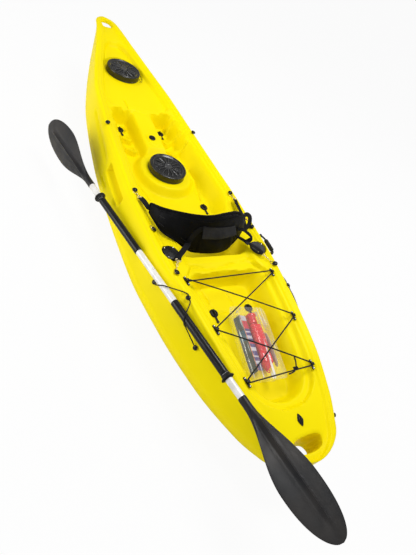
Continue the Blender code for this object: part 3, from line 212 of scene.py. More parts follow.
# The stand: a plain white floor under the keel, bright to the camera but still
# holding the hull's soft shadow, and a white room that is dimmer than it looks.
FLOOR_SIZE = 28
FLOOR_GLOW = 0.94
ROOM_LIGHT = 0.37
WHITE = (1, 1, 1, 1)
floor = primitive("plane", size=FLOOR_SIZE, location=(0, 0, -0.0004))
floor.name = "floor"
look = Look("floor_white")
look.put("Base Color", (0.80, 0.80, 0.80, 1))
look.put("Roughness", 0.9)
surface = look.node("MixShader")
look.join(look.sum("MULTIPLY", look.seen(), FLOOR_GLOW), surface, 0)
look.join(look.nodes["Principled BSDF"].outputs[0], surface, 1)
look.join(look.node("Emission").outputs[0], surface, 2)
look.join(surface.outputs[0], look.nodes["Material Output"], "Surface")
floor.data.materials.append(look.made)

look = Look(bpy.data.worlds.new("room"))
background = look.nodes["Background"]
look.join(look.sum("MULTIPLY_ADD", look.seen(), 1 - ROOM_LIGHT, ROOM_LIGHT), background, "Strength")
look.join(WHITE, background, "Color")
bpy.context.scene.world = look.made


# The hull: one rotomoulded polyethylene shell. Its lines are drawn as curves along the
# length, its deck as a height over the plan, and the wells, ribs and steps are moulded in.
LENGTH = 2.90
BEAM = 0.78
DEPTH = 0.30
BAND = 0.050
EDGE_ROUND = 0.014
EDGE_DROP = 0.010
SIDE_FLARE = 0.85
SIDE_FALL = 1.15
KEEL_FLAT = 0.30
TUNNEL = (0.185, 0.014, 0.025)
END_ROUND = (0.092, 0.090)
STATIONS = (
    1.0, 0.97, 0.94, 0.80, 0.66, 0.50, 0.30, 0.10,
    -0.10, -0.30, -0.50, -0.70, -0.85, -0.95, -1.0,
)
RIDGE_BREADTH = (
    0.068, 0.082, 0.091, 0.159, 0.238, 0.313, 0.353, 0.381,
    0.404, 0.399, 0.363, 0.317, 0.264, 0.196, 0.160,
)
BILGE_BREADTH = (
    0.050, 0.062, 0.076, 0.167, 0.253, 0.337, 0.406, 0.458,
    0.488, 0.500, 0.464, 0.390, 0.301, 0.224, 0.176,
)
RIDGE_RISE = (
    1.350, 1.367, 1.370, 1.287, 1.177, 1.083, 1.030, 1.003,
    0.990, 1.007, 1.027, 0.990, 0.890, 0.815, 0.780,
)
BILGE_RISE = (
    1.315, 1.250, 1.140, 0.880, 0.733, 0.650, 0.600, 0.567,
    0.567, 0.567, 0.567, 0.570, 0.590, 0.640, 0.680,
)
KEEL_RISE = (
    1.270, 1.200, 1.030, 0.380, 0.150, 0.040, 0.0, 0.0,
    0.0, 0.0, 0.0, 0.020, 0.110, 0.330, 0.560,
)
RECESS = (0.597, 1.200)
RECESS_FLOOR = (0.286, 0.352)
COCKPIT = (-0.500, 0.597)
COCKPIT_FLOOR = 0.200
CONSOLE = (0.050, 0.090)
CONSOLE_TOP = (0.258, 0.280)
RIB_FIRST = 0.310
RIB_PITCH = 0.098
RIB_RISE = 0.024
BENCH_TOP = 0.274
TANK = (-1.247, -0.525)
TANK_FLOOR = 0.183
TANK_LEDGE = 0.035
SIDE_SLOT = (0.022, 0.254, 0.036)
SIDE_SLITS = ((0.052, 0.142, 0.90), (-0.100, -0.046, 0.73))
HATCHES = ((0.953, 0.306, 0.117, 0.012), (0.140, 0.239, 0.134, 0.045))
SCUPPERS = {"foot": (0.522, 0.130), "seat": (-0.095, 0.150), "tank": (-0.737, 0.100)}
HALF = LENGTH / 2
END_HOLES = ((1.334, 1.408, 0.040, 0.70), (-1.412, -1.350, 0.080, 0.80))
HOLE_CORNER = 2.8
BEAK = (1.265, 1.345, 0.026)
DECK_CREASES = (
    (((0.690, 0.075), (0.612, 0.072), (0.600, 0.004)), 0.008, 0.0060),
    (((0.410, 0.028), (0.352, 0.030), (0.325, 0.004), (0.330, -0.026)), 0.007, 0.0055),
    (((0.200, 0.185), (0.120, 0.190), (0.030, 0.170), (-0.045, 0.156)), 0.009, 0.0070),
    (((0.200, -0.185), (0.120, -0.190), (0.030, -0.170), (-0.045, -0.156)), 0.009, 0.0070),
    (((-0.525, 0.199), (-0.549, 0.112), (-0.554, 0.058), (-0.548, -0.008), (-0.513, -0.173)),
     0.008, 0.0055),
    (((-0.513, -0.173), (-0.541, -0.198), (-0.574, -0.216), (-0.640, -0.226)), 0.008, 0.0045),
    (((-0.600, 0.110), (-0.660, 0.098), (-0.700, 0.100)), 0.007, 0.0050),
    (((-0.735, 0.075), (-0.742, 0.020)), 0.007, 0.0045),
    (((-0.640, -0.020), (-0.690, -0.030), (-0.730, -0.020)), 0.007, 0.0045),
    (((-0.700, -0.110), (-0.850, -0.125), (-1.010, -0.100), (-1.070, -0.040)), 0.012, 0.0060),
    (((-1.070, -0.040), (-1.085, 0.030), (-1.050, 0.085)), 0.012, 0.0060),
)


def smooth(low, high, value):
    """Rises from 0 at low to 1 at high with no corner at either end."""
    share = np.clip((value - low) / (high - low), 0.0, 1.0)
    return share * share * (3 - 2 * share)


def mix(low, high, share):
    """What lies a share of the way from low to high."""
    return low + (high - low) * share


def fair(values, x):
    """A fair curve through the hull's stations, with no overshoot between them."""
    place = np.array(STATIONS[::-1])
    height = np.array(values[::-1])
    run = np.diff(place)
    slope = np.diff(height) / run
    bend = slope[:-1] * slope[1:]
    mean = np.where(bend > 0, 2 * bend / np.where(bend > 0, slope[:-1] + slope[1:], 1), 0)
    tangent = np.concatenate([slope[:1], mean, slope[-1:]])
    share = np.clip(np.asarray(x, float) / HALF, -1, 1)
    k = np.clip(np.searchsorted(place, share) - 1, 0, len(run) - 1)
    u = (share - place[k]) / run[k]
    return (
        (1 + 2 * u) * (1 - u) ** 2 * height[k]
        + u * (1 - u) ** 2 * run[k] * tangent[k]
        + u * u * (3 - 2 * u) * height[k + 1]
        + u * u * (u - 1) * run[k] * tangent[k + 1]
    )


def end_closing(x):
    """1 along the hull, falling to 0 round the ends of its plan."""
    bow = np.clip((x - (HALF - END_ROUND[0])) / END_ROUND[0], 0, 1)
    stern = np.clip((-x - (HALF - END_ROUND[1])) / END_ROUND[1], 0, 1)
    return np.sqrt(np.clip(1 - bow**2 - stern**2, 0, 1))


def ridge_half(x):
    return BEAM * fair(RIDGE_BREADTH, x) * end_closing(x)


def ridge_height(x):
    return DEPTH * fair(RIDGE_RISE, x)


def bilge_half(x):
    return BEAM * fair(BILGE_BREADTH, x) * end_closing(x)


def well(x, a, aft, fore, half, wall, aft_wall, fore_wall, corner):
    """1 on a well's floor, 0 outside it, with sloping walls and rounded corners."""
    past = np.clip(np.maximum(x - (fore - corner), (aft + corner) - x) / corner, 0, 1)
    drawn = half * np.sqrt(1 - past**2)
    across = smooth(0, wall, drawn - a)
    return across * smooth(0, aft_wall, x - aft) * smooth(0, fore_wall, fore - x)


def crease(x, y, points, width):
    """1 along a line of points, fading to 0 a width away from it."""
    near = np.full(np.broadcast(x, y).shape, 1.0)
    for (x0, y0), (x1, y1) in zip(points, points[1:]):
        run = (x1 - x0) ** 2 + (y1 - y0) ** 2
        share = np.clip(((x - x0) * (x1 - x0) + (y - y0) * (y1 - y0)) / run, 0, 1)
        away = np.hypot(x - x0 - share * (x1 - x0), y - y0 - share * (y1 - y0))
        near = np.minimum(near, away / width)
    return np.exp(-2.5 * near**2) * (near < 1)


def foot_ribs(x, a):
    """The foot braces: each steps up, then runs out towards the bow."""
    total = 0
    for rib in range(3):
        past = x - (RIB_FIRST + rib * RIB_PITCH + 0.7 * (a - 0.15) + 1.6 * np.clip(0.12 - a, 0, 1))
        total = total + smooth(-0.004, 0.004, past) * (1 - smooth(0.004, 0.078, past))
    clear = smooth(0.026, 0.040, np.hypot(x - SCUPPERS["foot"][0], a - SCUPPERS["foot"][1]))
    return RIB_RISE * total * clear * smooth(CONSOLE[1], CONSOLE[1] + 0.012, a)


def deck(x, y):
    """Height of the moulded deck inboard of the gunwale ridge."""
    a = np.abs(y)
    half = ridge_half(x)
    top = ridge_height(x)
    edge = half - a
    round_share = np.clip(1 - edge / EDGE_ROUND, 0, 1)
    z = top - EDGE_DROP * (1 - np.sqrt(1 - round_share**2)) - 0.013 * smooth(0.030, BAND, edge)
    inner = half - BAND
    run = (x - RECESS[0]) / (RECESS[1] - RECESS[0])
    recess_z = mix(*RECESS_FLOOR, np.clip(run, 0, 1) ** 1.3)
    recess = well(x, a, RECESS[0] - 0.02, RECESS[1], inner, 0.020, 0.01, 0.030, 0.080)
    z = mix(z, np.minimum(z, recess_z), recess)
    pit_half = inner - 0.062 * smooth(0.05, 0.26, -x)
    pit = well(x, a, *COCKPIT, pit_half, 0.30 * pit_half, 0.055, 0.030, 0.025)
    z = mix(z, COCKPIT_FLOOR, pit) + foot_ribs(x, a) * smooth(0.0, 0.35, pit)
    hump = 1 - smooth(*CONSOLE, a)
    hump = hump * smooth(HATCHES[1][0] - 0.02, HATCHES[1][0] + 0.06, x) * (x < RECESS[0] + 0.02)
    hump_z = mix(*CONSOLE_TOP, smooth(HATCHES[1][0] + 0.10, RECESS[0], x))
    z = np.maximum(z, mix(z, hump_z, hump))
    bench = well(x, a, TANK[1] - 0.04, COCKPIT[0] + 0.06, 0.205, 0.03, 0.01, 0.05, 0.03)
    z = mix(z, np.minimum(z, BENCH_TOP), bench)
    wave = 0.022 * np.exp(-(((a - 0.16) / 0.035) ** 2))
    tank_half = inner - 0.004
    ledge = well(x, a, TANK[0], TANK[1] + wave, tank_half, 0.018, 0.02, 0.014, 0.110)
    z = mix(z, np.minimum(z, top - TANK_LEDGE), ledge)
    floor_share = well(
        x, a, TANK[0] + 0.03, TANK[1] - 0.042 + 0.036 * smooth(0.09, 0.19, a),
        tank_half - 0.030, 0.065, 0.045, 0.035, 0.100,
    )
    z = mix(z, TANK_FLOOR, floor_share)
    for hatch_x, hatch_z, collar, skirt in HATCHES:
        away = np.hypot(x - hatch_x, a)
        z = mix(z, hatch_z, 1 - smooth(collar, collar + skirt, away))
    return z - moulded_lines(x, y, edge) - hole_rounding(x, a)


def moulded_lines(x, y, edge):
    """Depth of the creases and folds of the deck, which stiffen its flats."""
    a = np.abs(y)
    z = 0.0050 * np.exp(-(((edge - 0.029) / 0.006) ** 2)) * smooth(0.10, 0.16, a)
    for points, width, depth in DECK_CREASES:
        z = z + depth * crease(x, y, points, width)
    return z


def hole_rounding(x, a):
    """Rounds the deck over the edges of the two handle holes."""
    z = 0
    for aft, fore, half, taper in END_HOLES:
        outer = fore if fore > 0 else aft
        drawn = half * mix(taper, 1, np.clip(np.abs(x - outer) / (fore - aft), 0, 1))
        u = np.abs(x - (aft + fore) / 2) / ((fore - aft) / 2)
        past = (u**HOLE_CORNER + (a / drawn) ** HOLE_CORNER) ** (1 / HOLE_CORNER) - 1
        past = past * (fore - aft) / 2
        share = np.clip(1 - past / 0.010, 0, 1)
        z = z + 0.007 * (1 - np.sqrt(1 - share**2))
    return z


def beak(x, z):
    """Lifts the underside at the bow, where the handle is only a thin plate."""
    start, end, thick = BEAK
    return mix(z, np.maximum(z, ridge_height(x) - thick), smooth(start, end, x))


def side_point(x, share):
    """A point of the hull's side, from the ridge at share 0 to the bilge at 1."""
    low = beak(x, DEPTH * fair(BILGE_RISE, x))
    high = ridge_height(x) - EDGE_DROP
    middle, long, deep = SIDE_SLOT
    slot = deep * smooth(0, 0.014, long / 2 - np.abs(x - middle + 0.05 * (share - 0.47)))
    slot = slot * smooth(0.29, 0.36, share) * (1 - smooth(0.57, 0.66, share))
    for aft, fore, line in SIDE_SLITS:
        slit = smooth(0, 0.010, x - aft) * smooth(0, 0.010, fore - x)
        slot = slot + 0.007 * slit * np.exp(-(((share - line) / 0.040) ** 2))
    flute = np.exp(-(((share - np.interp(x, (0.18, 0.60), (0.50, 0.34))) / 0.09) ** 2))
    slot = slot + 0.008 * flute * smooth(0.165, 0.24, x) * (1 - smooth(0.56, 0.60, x))
    y = mix(ridge_half(x), bilge_half(x), share**SIDE_FLARE) - slot
    return y, mix(high, low, share**SIDE_FALL)


def bottom(x, a):
    """Height of the underside, with a flat keel strip and two shallow tunnels."""
    half = np.maximum(bilge_half(x), 1e-4)
    share = np.clip((np.clip(a / half, 0, 1) - KEEL_FLAT) / (1 - KEEL_FLAT), 0, 1)
    rise = 1 - (1 - share**2.4) ** (1 / 2.4)
    tunnel = TUNNEL[1] * np.exp(-(((a - TUNNEL[0]) / TUNNEL[2]) ** 2))
    tunnel = tunnel * (1 - smooth(0.40, 0.62, np.abs(x) / HALF))
    return beak(x, mix(DEPTH * fair(KEEL_RISE, x), DEPTH * fair(BILGE_RISE, x), rise) + tunnel)


def only(item):
    """Makes one object the selected and active one."""
    bpy.ops.object.select_all(action="DESELECT")
    item.select_set(True)
    bpy.context.view_layer.objects.active = item


def shaded(item, angle):
    """Smooths a piece's shading over edges flatter than an angle in degrees."""
    only(item)
    bpy.ops.object.shade_smooth_by_angle(angle=math.radians(angle))
    return item


def remade(item, kind, **settings):
    """Changes a piece by one modifier."""
    step = item.modifiers.new(kind.lower(), kind)
    for name, value in settings.items():
        setattr(step, name, value)
    only(item)
    bpy.ops.object.modifier_apply(modifier=step.name)


def mended(item, **tools):
    """Runs mesh tools over the whole of a piece, each with its settings."""
    only(item)
    bpy.ops.object.mode_set(mode="EDIT")
    for tool, settings in tools.items():
        bpy.ops.mesh.select_all(action="SELECT")
        getattr(bpy.ops.mesh, tool)(**settings)
    bpy.ops.object.mode_set(mode="OBJECT")


def cut_away(item, cutter):
    """Cuts a closed shape out of a piece and removes the shape."""
    remade(item, "BOOLEAN", operation="DIFFERENCE", solver="EXACT", object=cutter)
    bpy.data.objects.remove(cutter, do_unlink=True)


def bent(name, long, round_, place, ends=True):
    """A sheet of squares bent into a closed skin; place turns two shares into points."""
    item = primitive("grid", x_subdivisions=long, y_subdivisions=round_, size=1)
    item.name = name
    spot = np.empty(len(item.data.vertices) * 3)
    item.data.vertices.foreach_get("co", spot)
    spot = spot.reshape(-1, 3)
    spot = np.stack(np.broadcast_arrays(*place(spot[:, 0] + 0.5, spot[:, 1] + 0.5)), axis=1)
    item.data.vertices.foreach_set("co", spot.ravel())
    closing = {"fill_holes": {"sides": 0}} if ends else {}
    mended(item, remove_doubles={"threshold": 0.00002}, **closing,
           normals_make_consistent={"inside": False})
    return item


LENGTHWISE = 480
END_STEPS = 14
LIP_STEPS = 16
DECK_STEPS = 62
SIDE_STEPS = 24
BOTTOM_STEPS = 8
half_ring = DECK_STEPS + SIDE_STEPS + BOTTOM_STEPS
turns = np.radians(np.linspace(0, 89.2, END_STEPS + 1))
stations = np.concatenate([
    (-HALF + END_ROUND[1] * (1 - np.sin(turns)))[::-1],
    np.linspace(-HALF + END_ROUND[1], HALF - END_ROUND[0], LENGTHWISE - 2 * END_STEPS + 1)[1:-1],
    HALF - END_ROUND[0] * (1 - np.sin(turns)),
])


def shell_point(u, v):
    """A point of the hull: along it by u, and round it from keel to keel by v."""
    x = np.interp(u * LENGTHWISE, np.arange(LENGTHWISE + 1), stations)
    around = np.abs(v - 0.5) * 2 * half_ring
    side = np.where(v < 0.5, -1.0, 1.0)
    half = ridge_half(x)
    lip = np.minimum(0.064, 0.4 * half)
    inboard = DECK_STEPS - LIP_STEPS
    a = np.where(
        around <= inboard,
        (half - lip) * np.clip(around, 0, inboard) / inboard,
        half - lip * (1 - np.clip(around - inboard, 0, LIP_STEPS) / LIP_STEPS) ** 1.25,
    )
    side_y, side_z = side_point(x, np.clip((around - DECK_STEPS) / SIDE_STEPS, 0, 1))
    below = np.clip((half_ring - around) / BOTTOM_STEPS, 0, 1)
    under_y = bilge_half(x) * np.sin(below * np.pi / 2) ** 0.9
    on_deck = around <= DECK_STEPS + 0.01
    on_side = around <= DECK_STEPS + SIDE_STEPS + 0.01
    y = side * np.where(on_deck, a, np.where(on_side, side_y, under_y))
    z = np.where(on_deck, deck(x, side * a), np.where(on_side, side_z, bottom(x, under_y)))
    return x, y, z


hull = bent("hull_shell", LENGTHWISE, 2 * half_ring, shell_point)


def post(radius, low, high, x, y, lean=0.0, steps=48):
    """A round cutter standing on the deck, leaning aft by an angle."""
    item = primitive("cylinder", vertices=steps, radius=radius, depth=high - low)
    item.data.transform(at(0, 0, (low + high) / 2))
    item.data.transform(Matrix.Rotation(-lean, 4, "Y"))
    item.data.transform(at(x, y, 0))
    return item


def end_hole(aft, fore, half, taper):
    """A cutter with rounded corners that narrows towards its own end of the hull."""
    item = primitive("cylinder", vertices=64, radius=1, depth=1.2)
    outer = fore if fore > 0 else aft
    for vert in item.data.vertices:
        u, v = (math.copysign(abs(c) ** (2 / HOLE_CORNER), c) for c in vert.co[:2])
        x = (aft + fore) / 2 + u * (fore - aft) / 2
        vert.co.x = x
        vert.co.y = v * half * mix(taper, 1, abs(x - outer) / (fore - aft))
    return item


SCUPPER_BORE = 0.017
HATCH_BORE = 0.084
ROD_PLACE = (-0.468, 0.251, 0.288)
ROD_LEAN = math.radians(18)
SIDES = (("port", 1), ("starboard", -1))


def join_all(items):
    """Makes several objects one, and gives it back as the active one."""
    bpy.ops.object.select_all(action="DESELECT")
    for item in items:
        item.select_set(True)
    bpy.context.view_layer.objects.active = items[0]
    bpy.ops.object.join()
    return bpy.context.object


holes = [end_hole(*hole) for hole in END_HOLES]
seats = []
for side, sign in SIDES:
    for x, y in SCUPPERS.values():
        holes.append(post(SCUPPER_BORE, -0.1, 0.5, x, sign * y))
    bore = post(0.0277, -0.19, 0.04, ROD_PLACE[0], sign * ROD_PLACE[1], ROD_LEAN)
    bore.data.transform(at(0, 0, ROD_PLACE[2]))
    holes.append(bore)
    seats.append(post(0.0445, ROD_PLACE[2], 0.40, ROD_PLACE[0], sign * ROD_PLACE[1]))
for x, z, collar, skirt in HATCHES:
    holes.append(post(HATCH_BORE, 0.045, 0.5, x, 0, 0, 96))
cut_away(hull, join_all(seats))
cut_away(hull, join_all(holes))
mended(hull, dissolve_degenerate={"threshold": 0.00001})
shaded(hull, 42)


def polyethylene():
    """Rotomoulded yellow: waxy, faintly dimpled, scuffed along the underside."""
    look = Look("yellow_polyethylene")
    yellow = look.ramp(look.noise(3.0, 3), (0.930, 0.755, 0.0006), (0.965, 0.805, 0.0012), 0.3, 0.7)
    low = look.ramp(look.along("Z"), 1.0, 0.0, 0.004, 0.055)
    drag = look.noise(1.6, 6, place=look.mapped(Scale=(2.0, 90.0, 90.0)))
    scuffs = look.sum("MULTIPLY", low, look.ramp(drag, 0.0, 0.6, 0.52, 0.72))
    look.put("Base Color", look.blend(scuffs, yellow, (0.62, 0.50, 0.10, 1)))
    look.put("Roughness", look.ramp(look.noise(14.0), 0.34, 0.44))
    dimples = look.relief(look.noise(420.0, 2), 0.00022, 0.35)
    look.put("Normal", look.relief(look.noise(16.0, 2), 0.0012, 0.5, dimples))
    look.put("Specular IOR Level", 0.06)
    return look.made


hull.data.materials.clear()
hull.data.materials.append(polyethylene())
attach(hull, "root")
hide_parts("hull")


# Two screw hatches: a threaded rim riveted in the deck, a rubber seal on it, and a black
# nylon lid with a deep plain side and a sunburst of ribs round a boss. Injection moulded.
LID_RADIUS = 0.104
LID_HEIGHT = 0.036
LID_WALL = 0.004
LID_RIM_RISE = 0.003
RIM_FLANGE = 0.0985
SEAL_WIRE = 0.0030
LID_ROUND = 0.0050
LID_SUNK = 0.0024
RIB_HEIGHT = 0.0060
FIT_GAP = 0.0003
RIBS = 16


def turned(name, profile, steps, place=None):
    """Turns a profile of (radius, height) points about the Z axis of a place."""
    radius = np.array([p[0] for p in profile])
    height = np.array([p[1] for p in profile])

    def point(u, v):
        k = np.rint(u * (len(profile) - 1)).astype(int)
        return radius[k] * np.cos(2 * np.pi * v), radius[k] * np.sin(2 * np.pi * v), height[k]

    item = bent(name, len(profile) - 1, steps, point)
    if place is not None:
        item.data.transform(place)
    return item


def eased(item, width=0.0, angle=32, segments=2):
    """Rounds a piece's hard edges and shades it."""
    if width:
        remade(item, "BEVEL", width=width, segments=segments, limit_method="ANGLE",
               angle_limit=math.radians(angle))
    return shaded(item, angle + 8)


def fitted(item, look, body, slot, *nodes):
    """Gives a piece its finish, its body and the nodes that it stands for."""
    item.data.materials.clear()
    item.data.materials.append(look)
    if body:
        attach(item, body)
    if nodes:
        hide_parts(*nodes)
    return item


def moulded_black(name, shade, rough, grain=0.00012, grain_scale=900.0, shine=0.22, painted_light=None):
    """Black plastic or rubber with uneven gloss, or with painted light from a colour attribute:
    darker as painted shade, greyer as painted highlight.
    """
    look = Look(name)
    if painted_light:
        # Painted light: low values of the attribute are painted shade, high values a painted grey
        # highlight.
        painted_rib_light = look.node("VertexColor", layer_name=painted_light).outputs["Color"]
        tint = look.ramp(painted_rib_light, (0.0015, 0.0015, 0.0016), (0.042, 0.042, 0.043), 0.10, 1.0)
    else:
        light = (shade * 1.25, shade * 1.25, shade * 1.3)
        tint = look.ramp(look.noise(30.0), (shade * 0.8,) * 3, light, 0.35, 0.65)
    look.put("Base Color", tint)
    smear = look.noise(55.0, 5)
    look.put("Roughness", look.ramp(smear, max(rough - 0.07, 0.05), rough + 0.08, 0.3, 0.7))
    look.put("Normal", look.relief(look.noise(grain_scale, 2), grain, 0.5))
    look.put("Specular IOR Level", shine)
    return look.made


nylon = moulded_black("black_nylon", 0.013, 0.30)
rubber = moulded_black("black_rubber", 0.013, 0.52, 0.0002, 500.0)
# The lids' colour holds painted light: painted shade in the grooves, painted highlight on the ribs
# and boss, from a colour attribute.
lid_nylon = moulded_black("lid_nylon", 0.009, 0.22, 0.00006, 1200.0, 0.55, "painted_rib_light")


def lid_relief(r, turn):
    """Height of the ribs and the boss over the dished top of a lid."""
    step = 2 * math.pi / RIBS
    off = np.abs((turn + step / 2) % step - step / 2) * r
    wave = 0.003 * np.cos(5 * turn)
    rib = RIB_HEIGHT * (1 - smooth(0.0012, 0.0040, off)) * smooth(0.024, 0.030, r)
    rib = rib * (1 - smooth(0.068 + wave, 0.077 + wave, r))
    boss = RIB_HEIGHT * (1 - smooth(0.0195, 0.0240, r)) - 0.0020 * (1 - smooth(0.0110, 0.0140, r))
    return np.maximum(rib, boss) + 0.0046 * smooth(0.076, 0.0895, r) ** 1.5 - LID_SUNK


for name, (x, z, collar, skirt) in zip(("front", "mid"), HATCHES):
    top = 2 * FIT_GAP + LID_HEIGHT
    dish = top - LID_RIM_RISE
    under = dish - LID_WALL
    neck = HATCH_BORE - 0.002
    outside = neck + 0.007
    neck_top = under - 2 * SEAL_WIRE - 2 * FIT_GAP
    here = at(x, 0, z)
    rim = [(neck - 0.004, -0.016), (neck, -0.016), (neck, FIT_GAP), (RIM_FLANGE, FIT_GAP)]
    rim += [(RIM_FLANGE, FIT_GAP + 0.004), (outside, FIT_GAP + 0.004)]
    for low in (0.008, 0.0135, 0.019):
        rim += [(outside, low), (outside + 0.0015, low + 0.0012), (outside + 0.0015, low + 0.002)]
        rim += [(outside, low + 0.0032)]
    rim += [(outside, neck_top), (neck - 0.004, neck_top), rim[0]]
    rim = turned(name + "_hatch_rim", rim, 96, here)
    fitted(eased(rim), nylon, "root", "plastic", name + "_rim")
    seal = [(neck + 0.0015 + SEAL_WIRE * math.cos(t), SEAL_WIRE * math.sin(t))
            for t in np.linspace(0, 2 * np.pi, 13)]
    seal = turned(name + "_hatch_seal", seal, 96, at(x, 0, z + under - FIT_GAP - SEAL_WIRE))
    fitted(eased(seal, 0, 60), rubber, name + "_hatch_seal", "rubber", name + "_seal")
    wall = LID_RADIUS - LID_WALL
    edge = LID_RADIUS - 0.0012
    outer = [(0, under), (wall, under), (wall, 2 * FIT_GAP), (LID_RADIUS - 0.001, 2 * FIT_GAP)]
    outer += [(LID_RADIUS, 0.0016), (LID_RADIUS, 0.0050), (edge, 0.0062), (edge, top - LID_ROUND)]
    outer += [(edge - LID_ROUND * (1 - math.cos(t)), top - LID_ROUND * (1 - math.sin(t)))
              for t in np.radians((25, 50, 75, 90))]
    outer += [(LID_RADIUS - 0.0105, top), (LID_RADIUS - 0.0125, top - 0.0006)]
    outer += [(LID_RADIUS - 0.0145, dish)]
    outer += [(r, dish) for r in np.linspace(LID_RADIUS - 0.0165, 0.0, 44)]
    lid = turned(name + "_hatch_lid", outer, 288)
    # Painted light on the lid top: the grooves between the ribs are painted darker as shade, the
    # rib tops and the boss lighter as a highlight.
    painted_rib_light = lid.data.color_attributes.new("painted_rib_light", "FLOAT_COLOR", "POINT")
    for vert, tone in zip(lid.data.vertices, painted_rib_light.data):
        shade = 0.30
        r = math.hypot(*vert.co[:2])
        if vert.co.z > dish - 0.0005 and r < LID_RADIUS - 0.0146:
            rise = float(lid_relief(r, math.atan2(vert.co.y, vert.co.x)))
            vert.co.z += rise
            shade = max(0.0, min(1.0, 0.16 + (rise + LID_SUNK) / 0.0050))
        tone.color = (shade, shade, shade, 1)
    lid.data.transform(here)
    fitted(eased(lid, 0, 30), lid_nylon, name + "_hatch_lid", "plastic", name + "_lid")


# Six scupper plugs, the console plug and the stern drain: soft black rubber bungs with a
# finger bar and a pull tab, pushed into the drain tubes, and two screwed plastic ones.
def slab(name, size, place, width):
    """A bar with rounded edges, at a point or in a frame."""
    item = primitive("cube", size=1)
    item.name = name
    item.data.transform(Matrix.Diagonal((*size, 1)))
    item.data.transform(at(*place) if isinstance(place, tuple) else place)
    return eased(item, width, 30, 3)


def fused(items):
    """Joins overlapping closed pieces into one skin."""
    for other in items[1:]:
        remade(items[0], "BOOLEAN", operation="UNION", solver="EXACT", object=other)
        bpy.data.objects.remove(other, do_unlink=True)
    return shaded(items[0], 38)


def copy_of(item, name, place):
    """Another of a piece, with its own mesh, at a place."""
    made = item.copy()
    made.data = item.data.copy()
    made.name = name
    made.data.transform(place)
    bpy.context.scene.collection.objects.link(made)
    return made


faces = [tuple(face.vertices) for face in hull.data.polygons]
hull_tree = BVHTree.FromPolygons([vert.co for vert in hull.data.vertices], faces)


def on_hull(x, y, outward=(0, 0, 1)):
    """Where a line along outward meets the hull, as a frame square to its surface."""
    way = Vector(outward).normalized()
    start = Vector((x, y, float(ridge_height(x)) if outward[2] > 0.9 else 0.240)) + way * 0.25
    place, normal, _, _ = hull_tree.ray_cast(start, -way)
    ahead = (Vector((1, 0, 0)) - normal * normal.x).normalized()
    return framed(ahead, normal.cross(ahead), normal, place)


head = [(0, -0.022), (0.0125, -0.022), (0.0145, -0.018), (0.0150, -0.002), (0.0155, 0)]
head += [(0.0205, 0.0), (0.0210, 0.0012), (0.0210, 0.0035), (0.0195, 0.0055), (0.0170, 0.0070)]
head += [(0.0130, 0.0072), (0.0118, 0.0052), (0, 0.0056)]
ear = [(0, 0.0012), (0.0068, 0.0012), (0.0072, 0.0026), (0.0068, 0.0040), (0, 0.0040)]
bung = fused([
    eased(turned("bung", head, 48)),
    slab("bar", (0.030, 0.0065, 0.0095), (0, 0, 0.0095), 0.0022),
    slab("tab", (0.028, 0.0100, 0.0028), (-0.030, 0, 0.0026), 0.0012),
    turned("ear", ear, 24, at(-0.046, 0, 0)),
])
for name, (x, y) in SCUPPERS.items():
    for side, sign in SIDES:
        z = float(deck(np.array(x + 0.022), np.array(sign * y))) + 0.0006
        made = copy_of(bung, f"bung_{name}_{side}", at(x, sign * y, z))
        fitted(made, rubber, f"scupper_{name}_{side}", "rubber", f"scupper_plug_{name}_{side}")
bpy.data.objects.remove(bung, do_unlink=True)


def sloped(x):
    """A frame on the deck's middle line, square to its slope."""
    near, far = (float(deck(np.array(x + d), np.array(0.0))) for d in (-0.02, 0.02))
    slope = Matrix.Rotation(-math.atan2(far - near, 0.04), 4, "Y")
    return at(x, 0, (near + far) / 2 + 0.0004) @ slope


stopper = [(0, -0.012), (0.0148, -0.012), (0.0152, 0), (0.0185, 0), (0.0190, 0.0006)]
stopper += [(0.0190, 0.0028), (0.0172, 0.0046), (0.0140, 0.0050), (0.0128, 0.0030), (0, 0.0026)]
stopper = turned("console_stopper", stopper, 64)
stopper = fused([stopper, slab("bar", (0.0055, 0.026, 0.005), (0, 0, 0.0040), 0.0016)])
stopper.data.transform(sloped(0.384))
fitted(stopper, nylon, "console_plug", "plastic", "console_plug")

plate = primitive("cylinder", vertices=64, radius=1, depth=0.0044)
for vert in plate.data.vertices:
    turn = math.atan2(vert.co.y, vert.co.x)
    reach = abs(math.cos(turn) / 0.0265) ** 1.25 + abs(math.sin(turn) / 0.0150) ** 1.25
    reach = reach ** (-1 / 1.25)
    share = 0.86 if vert.co.z > 0 else 1.0
    vert.co = (reach * share * math.cos(turn), reach * share * math.sin(turn), vert.co.z + 0.0022)
stem = [(0, -0.014), (0.008, -0.014), (0.008, 0.0035), (0.0105, 0.0040), (0.0105, 0.0058)]
stem += [(0.0090, 0.0068), (0, 0.0068)]
drain = fused([
    eased(plate, 0.0010),
    turned("stem", stem, 40),
    slab("bar", (0.0165, 0.0042, 0.0042), (0, 0, 0.0080), 0.0014),
])
drain.name = "stern_drain"
drain.data.transform(sloped(-1.292))
fitted(drain, nylon, "drain_plug", "plastic", "drain_plug")


# Two flush rod holders: a black flanged tube let into the gunwale beside the seat, leaning
# aft, screwed through its flange; the starboard one shows its shiny grey hinged cap.
ROD_FLANGE = 0.043
ROD_TUBE = 0.027
ROD_BORE = 0.0235
ROD_TUBE_LENGTH = 0.170
SCREW_RADIUS = 0.0036
CAP_EDGE = ((0.001, 0), (0, 0.0008), (0, 0.0030), (0.0020, 0.0052), (0.0050, 0.0062),
            (0.0085, 0.0066), (0.0100, 0.0054), (0.020, 0.0060))


def screw(place, height):
    """A bright pan-head screw with a small dimple in the middle of its head."""
    profile = [(0, -0.001), (SCREW_RADIUS, -0.001), (SCREW_RADIUS, height * 0.35)]
    profile += [(SCREW_RADIUS * 0.86, height * 0.75), (SCREW_RADIUS * 0.5, height), (0, height)]
    item = turned("screw", profile, 20)
    for vert in item.data.vertices:
        if vert.co.z > height * 0.9 and math.hypot(*vert.co[:2]) < SCREW_RADIUS * 0.1:
            vert.co.z -= height * 0.5
    item.data.transform(place)
    return item


